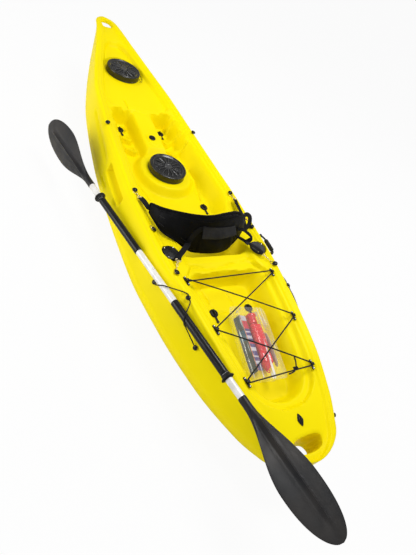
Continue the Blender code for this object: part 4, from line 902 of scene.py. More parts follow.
def bright_metal(name, colour, rough):
    """Worn bright metal: patchy in colour and in gloss."""
    look = Look(name)
    patches = look.noise(260.0, 5)
    dull = tuple(c * 0.72 for c in colour)
    look.put("Base Color", look.ramp(patches, dull, colour, 0.35, 0.6))
    look.put("Roughness", look.ramp(patches, rough + 0.14, rough, 0.3, 0.7))
    look.put("Metallic", 1.0)
    return look.made


steel = bright_metal("stainless_steel", (0.72, 0.71, 0.69), 0.20)
brass = bright_metal("plated_brass", (0.74, 0.62, 0.40), 0.22)
grey_nylon = moulded_black("grey_nylon", 0.052, 0.16)
for side, sign in SIDES:
    here = at(ROD_PLACE[0], sign * ROD_PLACE[1], ROD_PLACE[2] + FIT_GAP)
    lean = here @ Matrix.Rotation(-ROD_LEAN, 4, "Y")
    flange = [(0, -0.002), (0.026, -0.002), (0.026, 0), (ROD_FLANGE, 0), (ROD_FLANGE, 0.0022)]
    flange += [(ROD_FLANGE - 0.0012, 0.0032), (0, 0.0032)]
    pipe = [(0, -ROD_TUBE_LENGTH), (ROD_TUBE, -ROD_TUBE_LENGTH), (ROD_TUBE, -0.004), (0, -0.004)]
    holder = fused([turned("flange", flange, 72, here), turned("pipe", pipe, 48, lean)])
    bore = post(ROD_BORE, -ROD_TUBE_LENGTH + 0.004, 0.06, 0, 0)
    bore.data.transform(lean)
    cut_away(holder, bore)
    holder.name = "rod_tube_" + side
    fitted(eased(holder), nylon, "root", "plastic", "rod_holder_" + side)
    lift = 0.0032 + FIT_GAP
    wide = ROD_FLANGE - 0.0030
    cap = [(0, lift)] + [(wide - inset, lift + rise) for inset, rise in CAP_EDGE]
    cap += [(0.006, lift + 0.0072), (0, lift + 0.0073)]
    cap = turned("rod_lid_" + side, cap, 96, here)
    look = nylon if sign > 0 else grey_nylon
    fitted(eased(cap, 0, 24), look, "rod_cap_" + side, "cap", "rod_cap_" + side)
    heads = []
    for around in (40, 140, 220, 320) if sign > 0 else (60, 150, 300):
        turn = math.radians(around)
        reach = wide - 0.0068
        spot = at(reach * math.cos(turn), reach * math.sin(turn), lift + 0.0058)
        heads.append(screw(here @ spot, 0.0022))
    heads = fitted(eased(join_all(heads), 0, 30), steel, "rod_cap_" + side, "brass")
    heads.name = "rod_lid_screws_" + side


# The gunwale studs: black domes on a neck, riveted in pairs along the boat; those by the
# seat hold its wire rings. A few small plain ones close unused rivet places.
dome = [(0, -0.001), (0.0058, -0.001), (0.0058, 0.0052), (0.0085, 0.0058), (0.0125, 0.0062)]
dome += [(0.0128, 0.0072)]
dome += [(0.0128 * math.cos(t), 0.0080 + 0.0062 * math.sin(t))
         for t in np.radians((8, 22, 38, 54, 68, 80))]
dome += [(0.0016, 0.01425), (0.0012, 0.0136), (0, 0.0136)]
dome = eased(turned("dome", dome, 40), 0, 34)
STUDS = {"foot": (0.414, 0.266), "fore": (-0.080, 0.284), "mid": (-0.335, 0.288),
         "aft": (-0.588, 0.280)}
SIDE_STUDS = ((0.854, -0.252), (0.711, -0.275), (-0.005, -0.318), (-1.317, -0.200))
gloss_black = moulded_black("gloss_black", 0.012, 0.13, 0.00005)
for name, (x, y) in STUDS.items():
    for side, sign in SIDES:
        made = copy_of(dome, f"stud_{name}_{side}", on_hull(x, sign * y))
        fitted(made, gloss_black, "root", "plastic", f"button_{name}_{side}")
for number, (x, y) in enumerate(SIDE_STUDS):
    spot = on_hull(x, y, (0, -1, 0.35)) @ Matrix.Scale(0.72, 4)
    fitted(copy_of(dome, f"side_stud_{number}", spot), gloss_black, "root", "plastic")
bpy.data.objects.remove(dome, do_unlink=True)


# Snap hooks and split rings: bent plated wire that joins each strap of the seat to its
# stud, with a swivel eye and a small barrel on each.
def curve_at(points, share):
    """A smooth curve through points, from 0 at the first to 1 at the last."""
    whole = min(max(float(share), 0.0), 1.0) * (len(points) - 1)
    i = min(int(whole), len(points) - 2)
    u = whole - i
    near, far = Vector(points[i]), Vector(points[i + 1])
    before = Vector(points[i - 1]) if i else 2 * near - far
    after = Vector(points[i + 2]) if i + 2 < len(points) else 2 * far - near
    return near + 0.5 * u * (
        far - before + u * (2 * before - 5 * near + 4 * far - after)
        + u * u * (3 * (near - far) + after - before))


def through(points, count):
    """A smooth run of count points through the given ones."""
    return [curve_at(points, k / (count - 1)) for k in range(count)]


def wire(name, points, radius, sides, looped=False):
    """A round bar along points, with closed ends, or joined into a ring."""
    points = [Vector(p) for p in points]
    count = len(points)
    frames = []
    across = None
    for i, point in enumerate(points):
        after = points[(i + 1) % count] if looped or i + 1 < count else point
        before = points[i - 1] if looped or i else point
        along = (after - before).normalized()
        across = along.orthogonal() if across is None else across
        across = (across - along * across.dot(along)).normalized()
        frames.append((point, across.copy(), along.cross(across)))
    if looped:
        frames.append(frames[0])
    spots, rights, ups = (np.array([f[k] for f in frames]) for k in range(3))

    def point_at(u, v):
        k = np.rint(u * (len(frames) - 1)).astype(int)
        turn = 2 * np.pi * v[:, None]
        place = spots[k] + radius * (rights[k] * np.cos(turn) + ups[k] * np.sin(turn))
        return place[:, 0], place[:, 1], place[:, 2]

    return shaded(bent(name, len(frames) - 1, sides, point_at), 55)


def ring_of(name, middle, along, across, radius, count=28, sides=8):
    """A closed wire ring; along and across are its two half axes."""
    turns = np.linspace(0, 2 * np.pi, count, endpoint=False)
    points = [middle + along * math.cos(t) + across * math.sin(t) for t in turns]
    return wire(name, points, radius, sides, True)


CLIPS = (("aft", (-0.524, 0.244, 0.309)), ("fore", (-0.138, 0.280, 0.307)))
for name, far in CLIPS:
    x, y = STUDS[name]
    for side, sign in SIDES:
        seat_frame = on_hull(x, sign * y)
        base = seat_frame @ Vector((0, 0, 0.0038))
        end = Vector((far[0], sign * far[1], far[2]))
        normal = seat_frame.col[2].to_3d()
        flat = end - base
        flat = (flat - normal * flat.dot(normal)).normalized()
        across = normal.cross(flat)
        ring = ring_of("ring", base + flat * 0.0085, flat * 0.016, across * 0.0100, 0.0013)
        start = base + flat * 0.0240
        along = (end - start).normalized()
        side_way = UP.cross(along).normalized()
        run = (end - start).length
        middle = start + along * run * 0.52
        eye = side_way.cross(along) * 0.004
        eye = ring_of("eye", start + along * 0.002, along * 0.004, eye, 0.0011, 14)
        hook = [start + along * 0.006]
        hook += [middle + along * (0.1 * k - 0.3) * run * 0.9
                 + side_way * 0.0040 * math.sin(math.pi * k / 6) for k in range(7)]
        gate = [p - 2 * side_way * (p - middle).dot(side_way) for p in hook]
        loop = [end + side_way * a + along * b for a, b in (
            (-0.0135, 0.001), (-0.0125, -0.004), (0.0125, -0.004),
            (0.0135, 0.001), (0.0125, 0.004), (-0.0125, 0.004))]
        clip = join_all([
            ring, eye,
            wire("hook", through(hook, 20), 0.0014, 8),
            wire("gate", through(gate, 20), 0.0010, 8),
            wire("barrel", [end - along * 0.013, end - along * 0.004], 0.0032, 12),
            wire("loop", loop, 0.0013, 8, True),
        ])
        clip.name = f"snap_hook_{name}_{side}"
        fitted(clip, brass, "root", "brass", f"seat_clip_{name}_{side}")
for side, sign in SIDES:
    spot = on_hull(STUDS["mid"][0], sign * STUDS["mid"][1])
    ahead, beside = (spot.col[k].to_3d() for k in range(2))
    middle = spot @ Vector((0.010, 0, 0.0036))
    loose = ring_of("split_ring_" + side, middle, ahead * 0.0165, beside * 0.0115, 0.0012)
    fitted(loose, brass, "root", "brass")


# Six bungee hooks along the tank well: black nylon feet held by two bright screws, each
# with a horn that the cord passes under.
HOOKS = ((-0.627, 0.242), (-0.874, 0.215), (-1.105, 0.178))
HOOK_SCREWS = (-0.0175, 0.0175)
hook_end = [(0, 0), (0.0062, 0), (0.0062, 0.0030), (0.0050, 0.0042), (0, 0.0042)]
hook_seats = {}
for number, (x, y) in enumerate(HOOKS, 1):
    toe = math.atan2(float(ridge_half(x + 0.05) - ridge_half(x - 0.05)), 0.10)
    for side, sign in SIDES:
        node = f"tank_hook_{number}_{side}"
        foot = slab("foot", (0.036, 0.0125, 0.0034), (0, 0, 0.0017), 0.0014)
        ends = [turned("end", hook_end, 24, at(d, 0, 0)) for d in HOOK_SCREWS]
        neck = slab("neck", (0.0115, 0.0042, 0.0140), (0, 0.0026 * sign, 0.0068), 0.0012)
        horn = slab("horn", (0.0115, 0.0125, 0.0030), (0, -0.0014 * sign, 0.0124), 0.0012)
        made = fused([foot] + ends + [neck, horn])
        made.name = f"bungee_hook_{number}_{side}"
        here = at(x, sign * y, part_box(node)[0][2]) @ Matrix.Rotation(sign * toe, 4, "Z")
        made.data.transform(here)
        fitted(made, nylon, "root", "plastic", node)
        heads = join_all([screw(here @ at(d, 0, 0.0040), 0.0020) for d in HOOK_SCREWS])
        heads.name = f"bungee_hook_screws_{number}_{side}"
        fitted(eased(heads, 0, 30), steel, "root", "brass")
        hook_seats[number, sign] = here


# The tank well's bungee: one 6 mm shock cord in a woven black sheath, laced from hook to
# hook and tied to itself with an overhand knot whose two ends stand up.
BUNGEE_RADIUS = 0.0030
CROSS_LIFT = 0.0042
LACING = ((3, -1), (2, 1), (1, -1), (1, 1), (2, -1), (3, 1), (3, -1))
LIFTS = (CROSS_LIFT, -CROSS_LIFT, 0, CROSS_LIFT, -CROSS_LIFT, 0)
KNOT_TAILS = (
    ((0.004, 0, 0), (0.010, 0.022, 0.008), (0.016, 0.050, 0.012)),
    ((-0.004, 0, 0), (-0.020, -0.012, 0.004), (-0.050, -0.016, 0.003)),
)


def braided(name, colour, fleck):
    """A woven sheath: crossed fine ribs with lighter flecks."""
    look = Look(name)
    ribs = [look.threads(700.0, look.mapped(Rotation=(0.5, 0.4, lean))) for lean in (0.8, -0.8)]
    weave = look.sum("MAXIMUM", *ribs)
    look.put("Base Color", look.ramp(look.noise(900.0, 1), colour, fleck, 0.55, 0.75))
    look.put("Normal", look.relief(weave, 0.0004, 0.6))
    look.put("Roughness", look.ramp(weave, 0.85, 0.60))
    look.put("Sheen Weight", 0.1)
    look.put("Specular IOR Level", 0.15)
    return look.made


sheath = braided("black_sheath", (0.009, 0.009, 0.010), (0.03, 0.03, 0.032))
stops = []
for number, sign in LACING:
    here = hook_seats[number, sign]
    stops.append([here @ Vector((d, -0.0028 * sign, 0.0075)) for d in (0.0060, 0.0, -0.0060)])
laced = [stops[0][0]]
for i, lift in enumerate(LIFTS):
    start = laced[-1]
    arrive = sorted(stops[i + 1], key=lambda p: (p - start).length)
    count = max(8, int((arrive[0] - start).length / 0.012))
    for k in range(1, count):
        share = k / count
        laced.append(start.lerp(arrive[0], share) + UP * (lift * math.sin(math.pi * share)))
    laced += arrive if i < len(LIFTS) - 1 else arrive[:1]
bungee = wire("bungee", laced, BUNGEE_RADIUS, 12)
knot_at = stops[5][1].lerp(stops[6][1], 0.72)
along = (stops[6][1] - stops[5][1]).normalized()
across = UP.cross(along)
coil = []
for k in range(34):
    t = 2 * math.pi * k / 12
    coil.append(knot_at + along * (-0.010 + 0.020 * k / 33)
                + (across * math.cos(t) + UP * math.sin(t)) * 0.0058)
cord = [bungee, wire("coil", coil, 0.0027, 10)]
for tail in KNOT_TAILS:
    tail = [knot_at + along * a + across * b + UP * c for a, b, c in tail]
    cord.append(wire("tail", through(tail, 14), BUNGEE_RADIUS, 10))
cord = join_all(cord)
cord.name = "shock_cord"
fitted(cord, sheath, "root", "cord", "tank_bungee")


# The side carry handle: a moulded black grip with finger ribs on a webbing-covered cord,
# swinging on two eyes screwed under the starboard gunwale.
HANDLE_AXIS = Vector((-0.435, -0.338, 0.276))
HANDLE_LENGTH = 0.120
HANDLE_REACH = Vector((0, -0.026, -0.010))
half = HANDLE_LENGTH / 2
leg = [HANDLE_AXIS + Vector((d - half, 0, 0)) + HANDLE_REACH * out
       for d, out in ((0, 0), (0.003, 0.4), (0.014, 0.95), (0.030, 1))]
leg += [Vector((2 * HANDLE_AXIS.x - p.x, p.y, p.z)) for p in leg[::-1]]
lying = Matrix.Rotation(math.pi / 2, 4, "Y")
grip = [(0, -0.037), (0.0070, -0.037), (0.0095, -0.035)]
for rib in range(7):
    low = -0.032 + rib * 0.0092
    grip += [(0.0108, low), (0.0108, low + 0.0058), (0.0092, low + 0.0070), (0.0092, low + 0.0080)]
grip += [(0.0095, 0.035), (0.0070, 0.037), (0, 0.037)]
eye = [(0, -0.0062), (0.0070, -0.0062), (0.0076, -0.0050)]
eye += [(r, -z) for r, z in eye[::-1]]
handle = [wire("strap", through(leg, 40), 0.0045, 14),
          turned("grip", grip, 36, at(*(HANDLE_AXIS + HANDLE_REACH)) @ lying)]
for sign in (-1, 1):
    handle.append(turned("eye", eye, 28, at(*(HANDLE_AXIS + Vector((sign * half, 0, 0)))) @ lying))
handle = fused(handle)
handle.name = "side_handle"
fitted(handle, rubber, "carry_handle", "plastic", "carry_handle")
pad = [(0, 0.0002), (0.0105, 0.0002), (0.0105, 0.0040), (0.0080, 0.0062), (0, 0.0066)]
spots = [on_hull(HANDLE_AXIS.x + sign * (half + 0.011), -0.30, (0, -1, 0.35)) for sign in (-1, 1)]
pads = join_all([turned("pad", pad, 28, spot) for spot in spots])
pads.name = "side_handle_eyes"
fitted(eased(pads), nylon, "root", "plastic")


# The paddle keepers: a thin shock cord on each side between three studs, stretched over
# the paddle's shaft on the port side and lying on the hull on the other. A wrap is where
# the cord first meets the shaft and its step along it, its first angle round the shaft and
# its step, and how far fore of the top stud it then crosses the ridge.
KEEPER_FORE = (-0.573, 0.364)
KEEPER_TOP = (-0.717, 0.279)
KEEPER_AFT = (-0.905, 0.303)
KEEPER_RADIUS = 0.0024
KEEPER_WRAPS = ((-0.600, -0.011, -45, 35, 0.022), (-0.782, -0.012, 95, -35, -0.022))
GRIP_RADIUS = 0.0172
PADDLE_MIDDLE = Vector((-0.5655, 0.352, 0.2665))
PADDLE_YAW = 0.142
PADDLE_PITCH = -0.092
level = math.cos(PADDLE_PITCH)
ahead = Vector((math.cos(PADDLE_YAW) * level, math.sin(PADDLE_YAW) * level, math.sin(PADDLE_PITCH)))
beside = UP.cross(ahead).normalized()
joint_frame = framed(beside, ahead.cross(beside), ahead, PADDLE_MIDDLE)


def laid(near, far):
    """Points of a keeper cord that lies on the hull between two frames on it."""
    points = []
    for k in range(1, 9):
        middle = near.translation.lerp(far.translation, k / 9)
        out = near.col[2].to_3d().lerp(far.col[2].to_3d(), k / 9).normalized()
        place, normal, _, _ = hull_tree.ray_cast(middle + out * 0.2, -out)
        points.append(place + (out + normal).normalized() * (KEEPER_RADIUS + 0.0006))
    return points


stud = [(0, 0.0003), (0.0052, 0.0003), (0.0056, 0.0016), (0.0102, 0.0042), (0.0108, 0.0050)]
stud += [(0.0102, 0.0066), (0.0076, 0.0086), (0.0040, 0.0096), (0.0016, 0.0098), (0, 0.0092)]
for side, sign in SIDES:
    seats = [on_hull(KEEPER_FORE[0], sign * KEEPER_FORE[1], (0, sign, 0.35)),
             on_hull(KEEPER_TOP[0], sign * KEEPER_TOP[1]),
             on_hull(KEEPER_AFT[0], sign * KEEPER_AFT[1], (0, sign, 0.35))]
    fore, top, aft = (spot @ Vector((0, 0, 0.0045)) for spot in seats)
    if sign > 0:
        around = (GRIP_RADIUS + KEEPER_RADIUS + 0.0008) / math.cos(math.radians(12))
        line = [fore]
        for start_x, step_x, first, step, shift in KEEPER_WRAPS:
            over = []
            for k in range(9):
                x = start_x + step_x * k / 2
                turn = math.radians(first + step * k / 2)
                centre = PADDLE_MIDDLE + ahead * ((x - PADDLE_MIDDLE.x) / ahead.x)
                over.append(centre + Vector((0, math.cos(turn), math.sin(turn))) * around)
            crest = on_hull(KEEPER_TOP[0] + shift, float(ridge_half(KEEPER_TOP[0])) - 0.006)
            crest = crest @ Vector((0, 0, KEEPER_RADIUS + 0.0010))
            line += over + [crest, top] if shift > 0 else [crest] + over + [aft]
        line = through(line, 160)
    else:
        line = [fore] + laid(seats[0], seats[1]) + [top] + laid(seats[1], seats[2]) + [aft]
        line = through(line, 90)
    keeper = wire("keeper_cord_" + side, line, KEEPER_RADIUS, 10)
    fitted(keeper, sheath, "root", "cord", "paddle_keeper_" + side)
    studs = join_all([turned("stud", stud, 32, spot) for spot in seats])
    studs.name = "keeper_studs_" + side
    fitted(eased(studs, 0, 34), gloss_black, "root", "plastic")


# The lid leash: a short loop of thin cord from the front lid's rim, so that it isn't lost.
LEASH = ((0.1035, -0.016, 0.020), (0.112, -0.018, 0.010), (0.121, -0.012, 0.0045),
         (0.127, 0.004, 0.0038), (0.121, 0.018, 0.0050), (0.112, 0.022, 0.014),
         (0.1035, 0.020, 0.024))
LEASH_TURN = -118
turn = math.radians(LEASH_TURN)
outward = Vector((math.cos(turn), math.sin(turn), 0))
sideways = UP.cross(outward)
tie = Vector((HATCHES[0][0], 0, HATCHES[0][1]))
leash = [tie + outward * a + sideways * b + UP * c for a, b, c in LEASH]
fitted(wire("lid_leash", through(leash, 40), 0.0013, 8), sheath, "front_hatch_lid", "cord")


# The two-piece paddle: a white painted alloy shaft joined by a spring button, black foam
# grips, rubber drip rings, and two spooned blades of black filled nylon with a long spine.
SHAFT_RADIUS = 0.0148
SHAFT_WALL = 0.0014
BUTTON_AT = 0.030
GRIP_START, GRIP_END = 0.147, 0.505
DRIP_RING_AT = 0.518
DRIP_RING = (
    (0.0180, -0.0110), (0.0186, -0.0095), (0.0186, -0.0040), (0.0200, -0.0018), (0.0235, 0.0012),
    (0.0262, 0.0036), (0.0268, 0.0050), (0.0266, 0.0066), (0.0256, 0.0062), (0.0225, 0.0036),
    (0.0200, 0.0030), (0.0186, 0.0046), (0.0184, 0.0100), (0.0178, 0.0110),
)
BLADE_START, BLADE_TIP = 0.612, 1.136
BLADE_WIDTH = 0.184
BLADE_THICK = 0.0045
NECK_RADIUS = 0.0166


def painted_shaft():
    """White baked paint on a tube: glossy, faintly warm, with fine handling scratches."""
    look = Look("white_shaft_paint")
    cloud = look.noise(26.0, 5)
    look.put("Base Color", look.ramp(cloud, (0.70, 0.68, 0.64), (0.84, 0.83, 0.81), 0.30, 0.62))
    look.put("Roughness", look.ramp(look.noise(160.0, 5), 0.16, 0.34, 0.3, 0.7))
    look.put("Normal", look.relief(look.noise(300.0, 2), 0.0001, 0.3))
    look.put("Coat Weight", 0.5)
    look.put("Coat Roughness", 0.08)
    return look.made


def filled_nylon():
    """Blade plastic: satin black with a fine grain and patches of brown rubbed bloom."""
    look = Look("blade_nylon")
    bloom = look.noise(7.0, 3)
    tint = look.ramp(bloom, (0.011, 0.011, 0.012), (0.024, 0.021, 0.019), 0.42, 0.68)
    look.put("Base Color", tint)
    look.put("Roughness", look.ramp(look.noise(24.0, 6), 0.30, 0.48, 0.3, 0.7))
    look.put("Normal", look.relief(look.noise(1400.0, 2), 0.00016, 0.45))
    look.put("Specular IOR Level", 0.25)
    return look.made


white = painted_shaft()
blade_look = filled_nylon()
foam = moulded_black("grip_sleeve", 0.010, 0.22, 0.00006, 300.0)
inner = SHAFT_RADIUS - SHAFT_WALL
spigot = inner - 0.0008
far = BLADE_START - FIT_GAP
lip = SHAFT_RADIUS - 0.0008
halves = {
    "aft": [(inner, -far), (SHAFT_RADIUS, -far), (SHAFT_RADIUS, -0.0010), (lip, 0),
            (spigot, 0), (spigot, 0.0585), (spigot - 0.0012, 0.060), (spigot - 0.0030, 0.060),
            (spigot - 0.0030, -0.02), (inner, -0.02), (inner, -far)],
    "fore": [(inner, FIT_GAP), (lip, FIT_GAP), (SHAFT_RADIUS, 0.0013), (SHAFT_RADIUS, far),
             (inner, far), (inner, FIT_GAP)],
}
button_frame = joint_frame @ at(0, 0, BUTTON_AT) @ Matrix.Rotation(-math.pi / 2, 4, "X")


def blade_point(u, v):
    """A point of a blade: u from throat to tip, v round its edge; Y is the power face's back."""
    share = np.clip((u - 0.02) / 0.98, 0, 1) ** 0.92
    turn = 2 * np.pi * v
    swell = smooth(0.05, 0.62, share) ** 0.9
    half = mix(NECK_RADIUS, BLADE_WIDTH / 2, swell)
    half = half * np.sqrt(np.maximum(1 - np.clip((share - 0.62) / 0.38, 0, 1) ** 2.3, 0.0004))
    thick = mix(NECK_RADIUS, BLADE_THICK / 2, smooth(0.03, 0.34, share))
    plug = u < 0.019
    half = np.where(plug, inner - 0.0016, half)
    thick = np.where(plug, inner - 0.0016, thick)
    fullness = mix(1.0, 0.8, smooth(0.2, 0.5, share))
    across = half * np.sign(np.cos(turn)) * np.abs(np.cos(turn)) ** fullness
    lift = thick * np.sin(turn)
    open_ = smooth(0.06, 0.24, share) * (1 - smooth(0.80, 0.93, share))
    ridge = 0.0105 * np.exp(-((across / 0.0062) ** 2)) * open_ * (1 - 0.35 * share)
    groove = -0.0030 * np.exp(-(((np.abs(across) - 0.016) / 0.006) ** 2)) * open_
    hollow = 0.0050 * np.exp(-((across / 0.010) ** 2)) * open_
    lift = lift + np.where(np.sin(turn) >= 0, ridge + groove, -hollow)
    spoon = -0.010 * (across / (BLADE_WIDTH / 2)) ** 2 * smooth(0.1, 0.5, share)
    along = BLADE_START + 0.0004 + share * (BLADE_TIP - BLADE_START)
    return across, lift + spoon, np.where(plug, BLADE_START - 0.030 + 0.028 * u / 0.019, along)


for name, sign, roll in (("aft", -1, 0.0), ("fore", 1, math.radians(-80))):
    body = "paddle_" + name
    here = joint_frame if sign > 0 else joint_frame @ Matrix.Rotation(math.pi, 4, "Y")
    tube = turned("shaft_tube_" + name, halves[name], 56, joint_frame)
    if sign > 0:
        hole = [(0, 0.008), (0.0038, 0.008), (0.0038, 0.030), (0, 0.030)]
        cut_away(tube, turned("hole", hole, 24, button_frame))
    fitted(eased(tube, 0, 28), white, body, "shaft", "shaft_" + name)
    sleeve = SHAFT_RADIUS + FIT_GAP
    grip = [(sleeve, GRIP_START), (GRIP_RADIUS - 0.0012, GRIP_START)]
    grip += [(GRIP_RADIUS, GRIP_START + 0.0022)]
    grip += [(GRIP_RADIUS, z) for z in np.linspace(GRIP_START + 0.01, GRIP_END - 0.01, 30)]
    grip += [(GRIP_RADIUS, GRIP_END - 0.0022), (GRIP_RADIUS - 0.0012, GRIP_END)]
    grip += [(sleeve, GRIP_END), (sleeve, GRIP_START)]
    grip = turned("hand_grip_" + name, grip, 56, here)
    fitted(eased(grip, 0, 28), foam, body, "grip", "grip_" + name)
    ring = [(sleeve, -0.0110), *DRIP_RING, (sleeve, 0.0110), (sleeve, -0.0110)]
    ring = turned("rain_ring_" + name, ring, 72, here @ at(0, 0, DRIP_RING_AT))
    fitted(eased(ring, 0, 28), rubber, body, "rubber", "drip_ring_" + name)
    blade = bent("paddle_blade_" + name, 150, 72, blade_point)
    blade.data.transform(here @ Matrix.Rotation(roll * sign, 4, "Z"))
    fitted(eased(blade, 0, 40), blade_look, body, "blade", "blade_" + name)

pin = [(0, 0.0090), (0.0035, 0.0090), (0.0035, 0.0158), (0.0032, 0.0166), (0.0024, 0.0172)]
pin = turned("spring_button", pin + [(0, 0.0173)], 28, button_frame)
fitted(eased(pin, 0, 34), steel, "shaft_button", "brass", "shaft_button")


# The seat back: a curved pad of foam between two sheets of coated black nylon, bound along
# its edges, with a sewn-on rear pocket, its flap and a webbing band; held by four straps.
SEAT_UPPER = (
    (-0.205, 0.262, 0.336), (-0.278, 0.240, 0.378), (-0.345, 0.188, 0.418),
    (-0.383, 0.125, 0.441), (-0.392, 0.060, 0.449), (-0.376, -0.020, 0.449),
    (-0.353, -0.100, 0.433), (-0.334, -0.170, 0.395), (-0.290, -0.228, 0.344),
)
SEAT_LOWER = (
    (-0.235, 0.268, 0.303), (-0.345, 0.250, 0.299), (-0.402, 0.195, 0.290),
    (-0.428, 0.115, 0.246), (-0.438, 0.030, 0.239), (-0.436, -0.060, 0.241),
    (-0.408, -0.140, 0.262), (-0.362, -0.202, 0.298), (-0.300, -0.248, 0.305),
)
SEAT_THICK = 0.024
PAD_START = 0.62
PAD_PRESSURE = 4.0
PAD_CAP = 0.0055
PAD_FRAMES = 20
PAD_VOXEL = 0.0045
PAD_EDGE = 0.012
PAD_LEAST = 0.0036


def seat_place(share, level):
    """A point in the middle of the seat back: port to starboard, hem to top."""
    return curve_at(SEAT_LOWER, share).lerp(curve_at(SEAT_UPPER, share), float(level))


def seat_rear(share):
    """The way the rear of the seat back faces at a share."""
    up = seat_place(share, 1) - seat_place(share, 0)
    along = seat_place(share + 0.02, 0.5) - seat_place(share - 0.02, 0.5)
    return along.normalized().cross(up).normalized()


def seat_depth(share, level):
    """Half thickness of the padding, drawn in at the hems and at the wing ends."""
    level = min(max(float(level), 0.0), 1.0)
    up = 0.30 + 0.70 * math.sin(math.pi * level) ** 0.45
    along = 0.45 + 0.55 * math.cos(math.pi / 2 * 0.955 * (2 * float(share) - 1)) ** 0.35
    return SEAT_THICK / 2 * up * along


def on_seat(share, level, lift):
    """A point so far off the rear of the padding."""
    return seat_place(share, level) + seat_rear(share) * (seat_depth(share, level) + lift)


def cloth_look(name, colour, weave, sheen, rough, depth=0.00035):
    """Woven coated cloth: a square weave, soft creases and a grey sheen."""
    look = Look(name)
    square = look.threads(weave, look.place())
    for axis in "YZ":
        square = look.sum("MULTIPLY", square, look.threads(weave, look.place(), axis))
    bright = tuple(c * 2.1 for c in colour)
    look.put("Base Color", look.ramp(look.noise(16.0, 6), colour, bright, 0.35, 0.72))
    look.put("Roughness", look.ramp(look.noise(40.0), rough - 0.10, rough + 0.08, 0.3, 0.7))
    creases = look.noise(22.0, 6, 0.55)
    look.put("Normal", look.relief(creases, 0.0035, 0.55, look.relief(square, depth, 0.5)))
    look.put("Sheen Weight", sheen)
    look.put("Sheen Roughness", 0.4)
    look.put("Specular IOR Level", 0.06)
    return look.made


canvas = cloth_look("coated_nylon", (0.0030, 0.0030, 0.0034), 900.0, 0.01, 0.50)
webbing = cloth_look("strap_webbing", (0.0065, 0.0065, 0.0072), 1400.0, 0.05, 0.65, 0.0005)
binding = cloth_look("grey_binding", (0.014, 0.014, 0.0155), 1600.0, 0.12, 0.55)


def pad_point(u, v):
    """A point of the pad before it is filled: a thin pillow on the seat's curve."""
    out = []
    for a, level, side in zip(u, 0.5 - 0.5 * np.cos(2 * np.pi * v), v < 0.5):
        share = 0.004 + 0.992 * a
        level = min(max(level, PAD_EDGE), 1 - PAD_EDGE)
        half = seat_depth(share, level) * PAD_START * math.sin(math.pi * level) ** 0.35
        half = max(half, PAD_LEAST)
        out.append(seat_place(share, level) + seat_rear(share) * (half if side else -half))
    return np.array(out).T


pad = bent("seat_pad", 72, 40, pad_point)


def filled(item):
    """Blows a closed cloth shell up like a stuffed pad, and caps how far it goes."""
    remade(item, "REMESH", mode="VOXEL", voxel_size=PAD_VOXEL)
    start = np.empty(len(item.data.vertices) * 3)
    item.data.vertices.foreach_get("co", start)
    cloth = item.modifiers.new("fill", "CLOTH")
    cloth.settings.use_pressure = True
    cloth.settings.uniform_pressure_force = PAD_PRESSURE
    cloth.settings.effector_weights.gravity = 0
    cloth.settings.tension_stiffness = 12
    cloth.settings.compression_stiffness = 12
    cloth.point_cache.frame_start = 1
    cloth.point_cache.frame_end = PAD_FRAMES
    for number in range(1, PAD_FRAMES + 1):
        bpy.context.scene.frame_set(number)
    bpy.ops.object.modifier_apply(modifier=cloth.name)
    bpy.context.scene.frame_set(1)
    end = np.empty(len(start))
    item.data.vertices.foreach_get("co", end)
    shift = (end - start).reshape(-1, 3)
    length = np.linalg.norm(shift, axis=1, keepdims=True)
    shift = shift * np.minimum(1, PAD_CAP / np.maximum(length, 1e-9))
    item.data.vertices.foreach_set("co", (start.reshape(-1, 3) + shift).ravel())
    remade(item, "SUBSURF", levels=1, render_levels=1)
    bpy.ops.object.shade_smooth()


filled(pad)
fitted(pad, canvas, "seat", "fabric", "seat_back")


def edge_run(level, first=0.0, last=1.0, count=120, out=0.0):
    """A line along the seat back at one level, so far to the rear of its middle."""
    shares = np.linspace(first, last, count)
    return [seat_place(share, level) + seat_rear(share) * out for share in shares]


hem = edge_run(0.972) + [seat_place(1, 0.5)] + edge_run(0.028)[::-1] + [seat_place(0, 0.5)]
trim = wire("edge_binding", hem, 0.0052, 10, True)
fitted(trim, canvas, "seat", "fabric")
end_trim = [seat_place(0.972, t) + seat_rear(0.972) * (0.0055 * math.sin(math.pi * t) + 0.003)
            for t in np.linspace(0.0, 1.0, 30)]
fitted(wire("end_binding", end_trim, 0.0038, 10), binding, "seat", "fabric")
seam = wire("seam", edge_run(0.86, 0.08, 0.94, 140, 0.0112), 0.0011, 6)
fitted(seam, canvas, "seat", "fabric")

POCKET = (0.415, 0.712)
POCKET_RISE = (0.05, 0.55)
BAR_TACKS = ((0.13, 0.30, 0.62), (0.30, 0.12, 0.24))


def pocket_point(u, v):
    """The pocket: flat against the pad, swelling to the rear, pleated below its mouth."""
    out = []
    for a, b in zip(u, v):
        t = 0.5 - 0.5 * math.cos(2 * math.pi * b)
        lift = 0.0012
        if b < 0.5:
            puff = math.sin(math.pi * min(max(a, 0.0), 1.0)) ** 0.4
            swell = math.sin(math.pi * min(0.08 + 0.92 * t, 1.0) ** 0.8) ** 0.6 * (1 - 0.15 * t)
            pleat = 0.0034 * math.sin(13.0 * a + 5.0 * t) * math.sin(math.pi * t) * puff
            lift += 0.0185 * puff * swell + pleat
        out.append(on_seat(mix(*POCKET, a), mix(*POCKET_RISE, t), lift))
    return np.array(out).T


pocket = bent("seat_pocket_bag", 44, 56, pocket_point)
fitted(eased(pocket, 0, 60), canvas, "seat", "fabric", "seat_pocket")


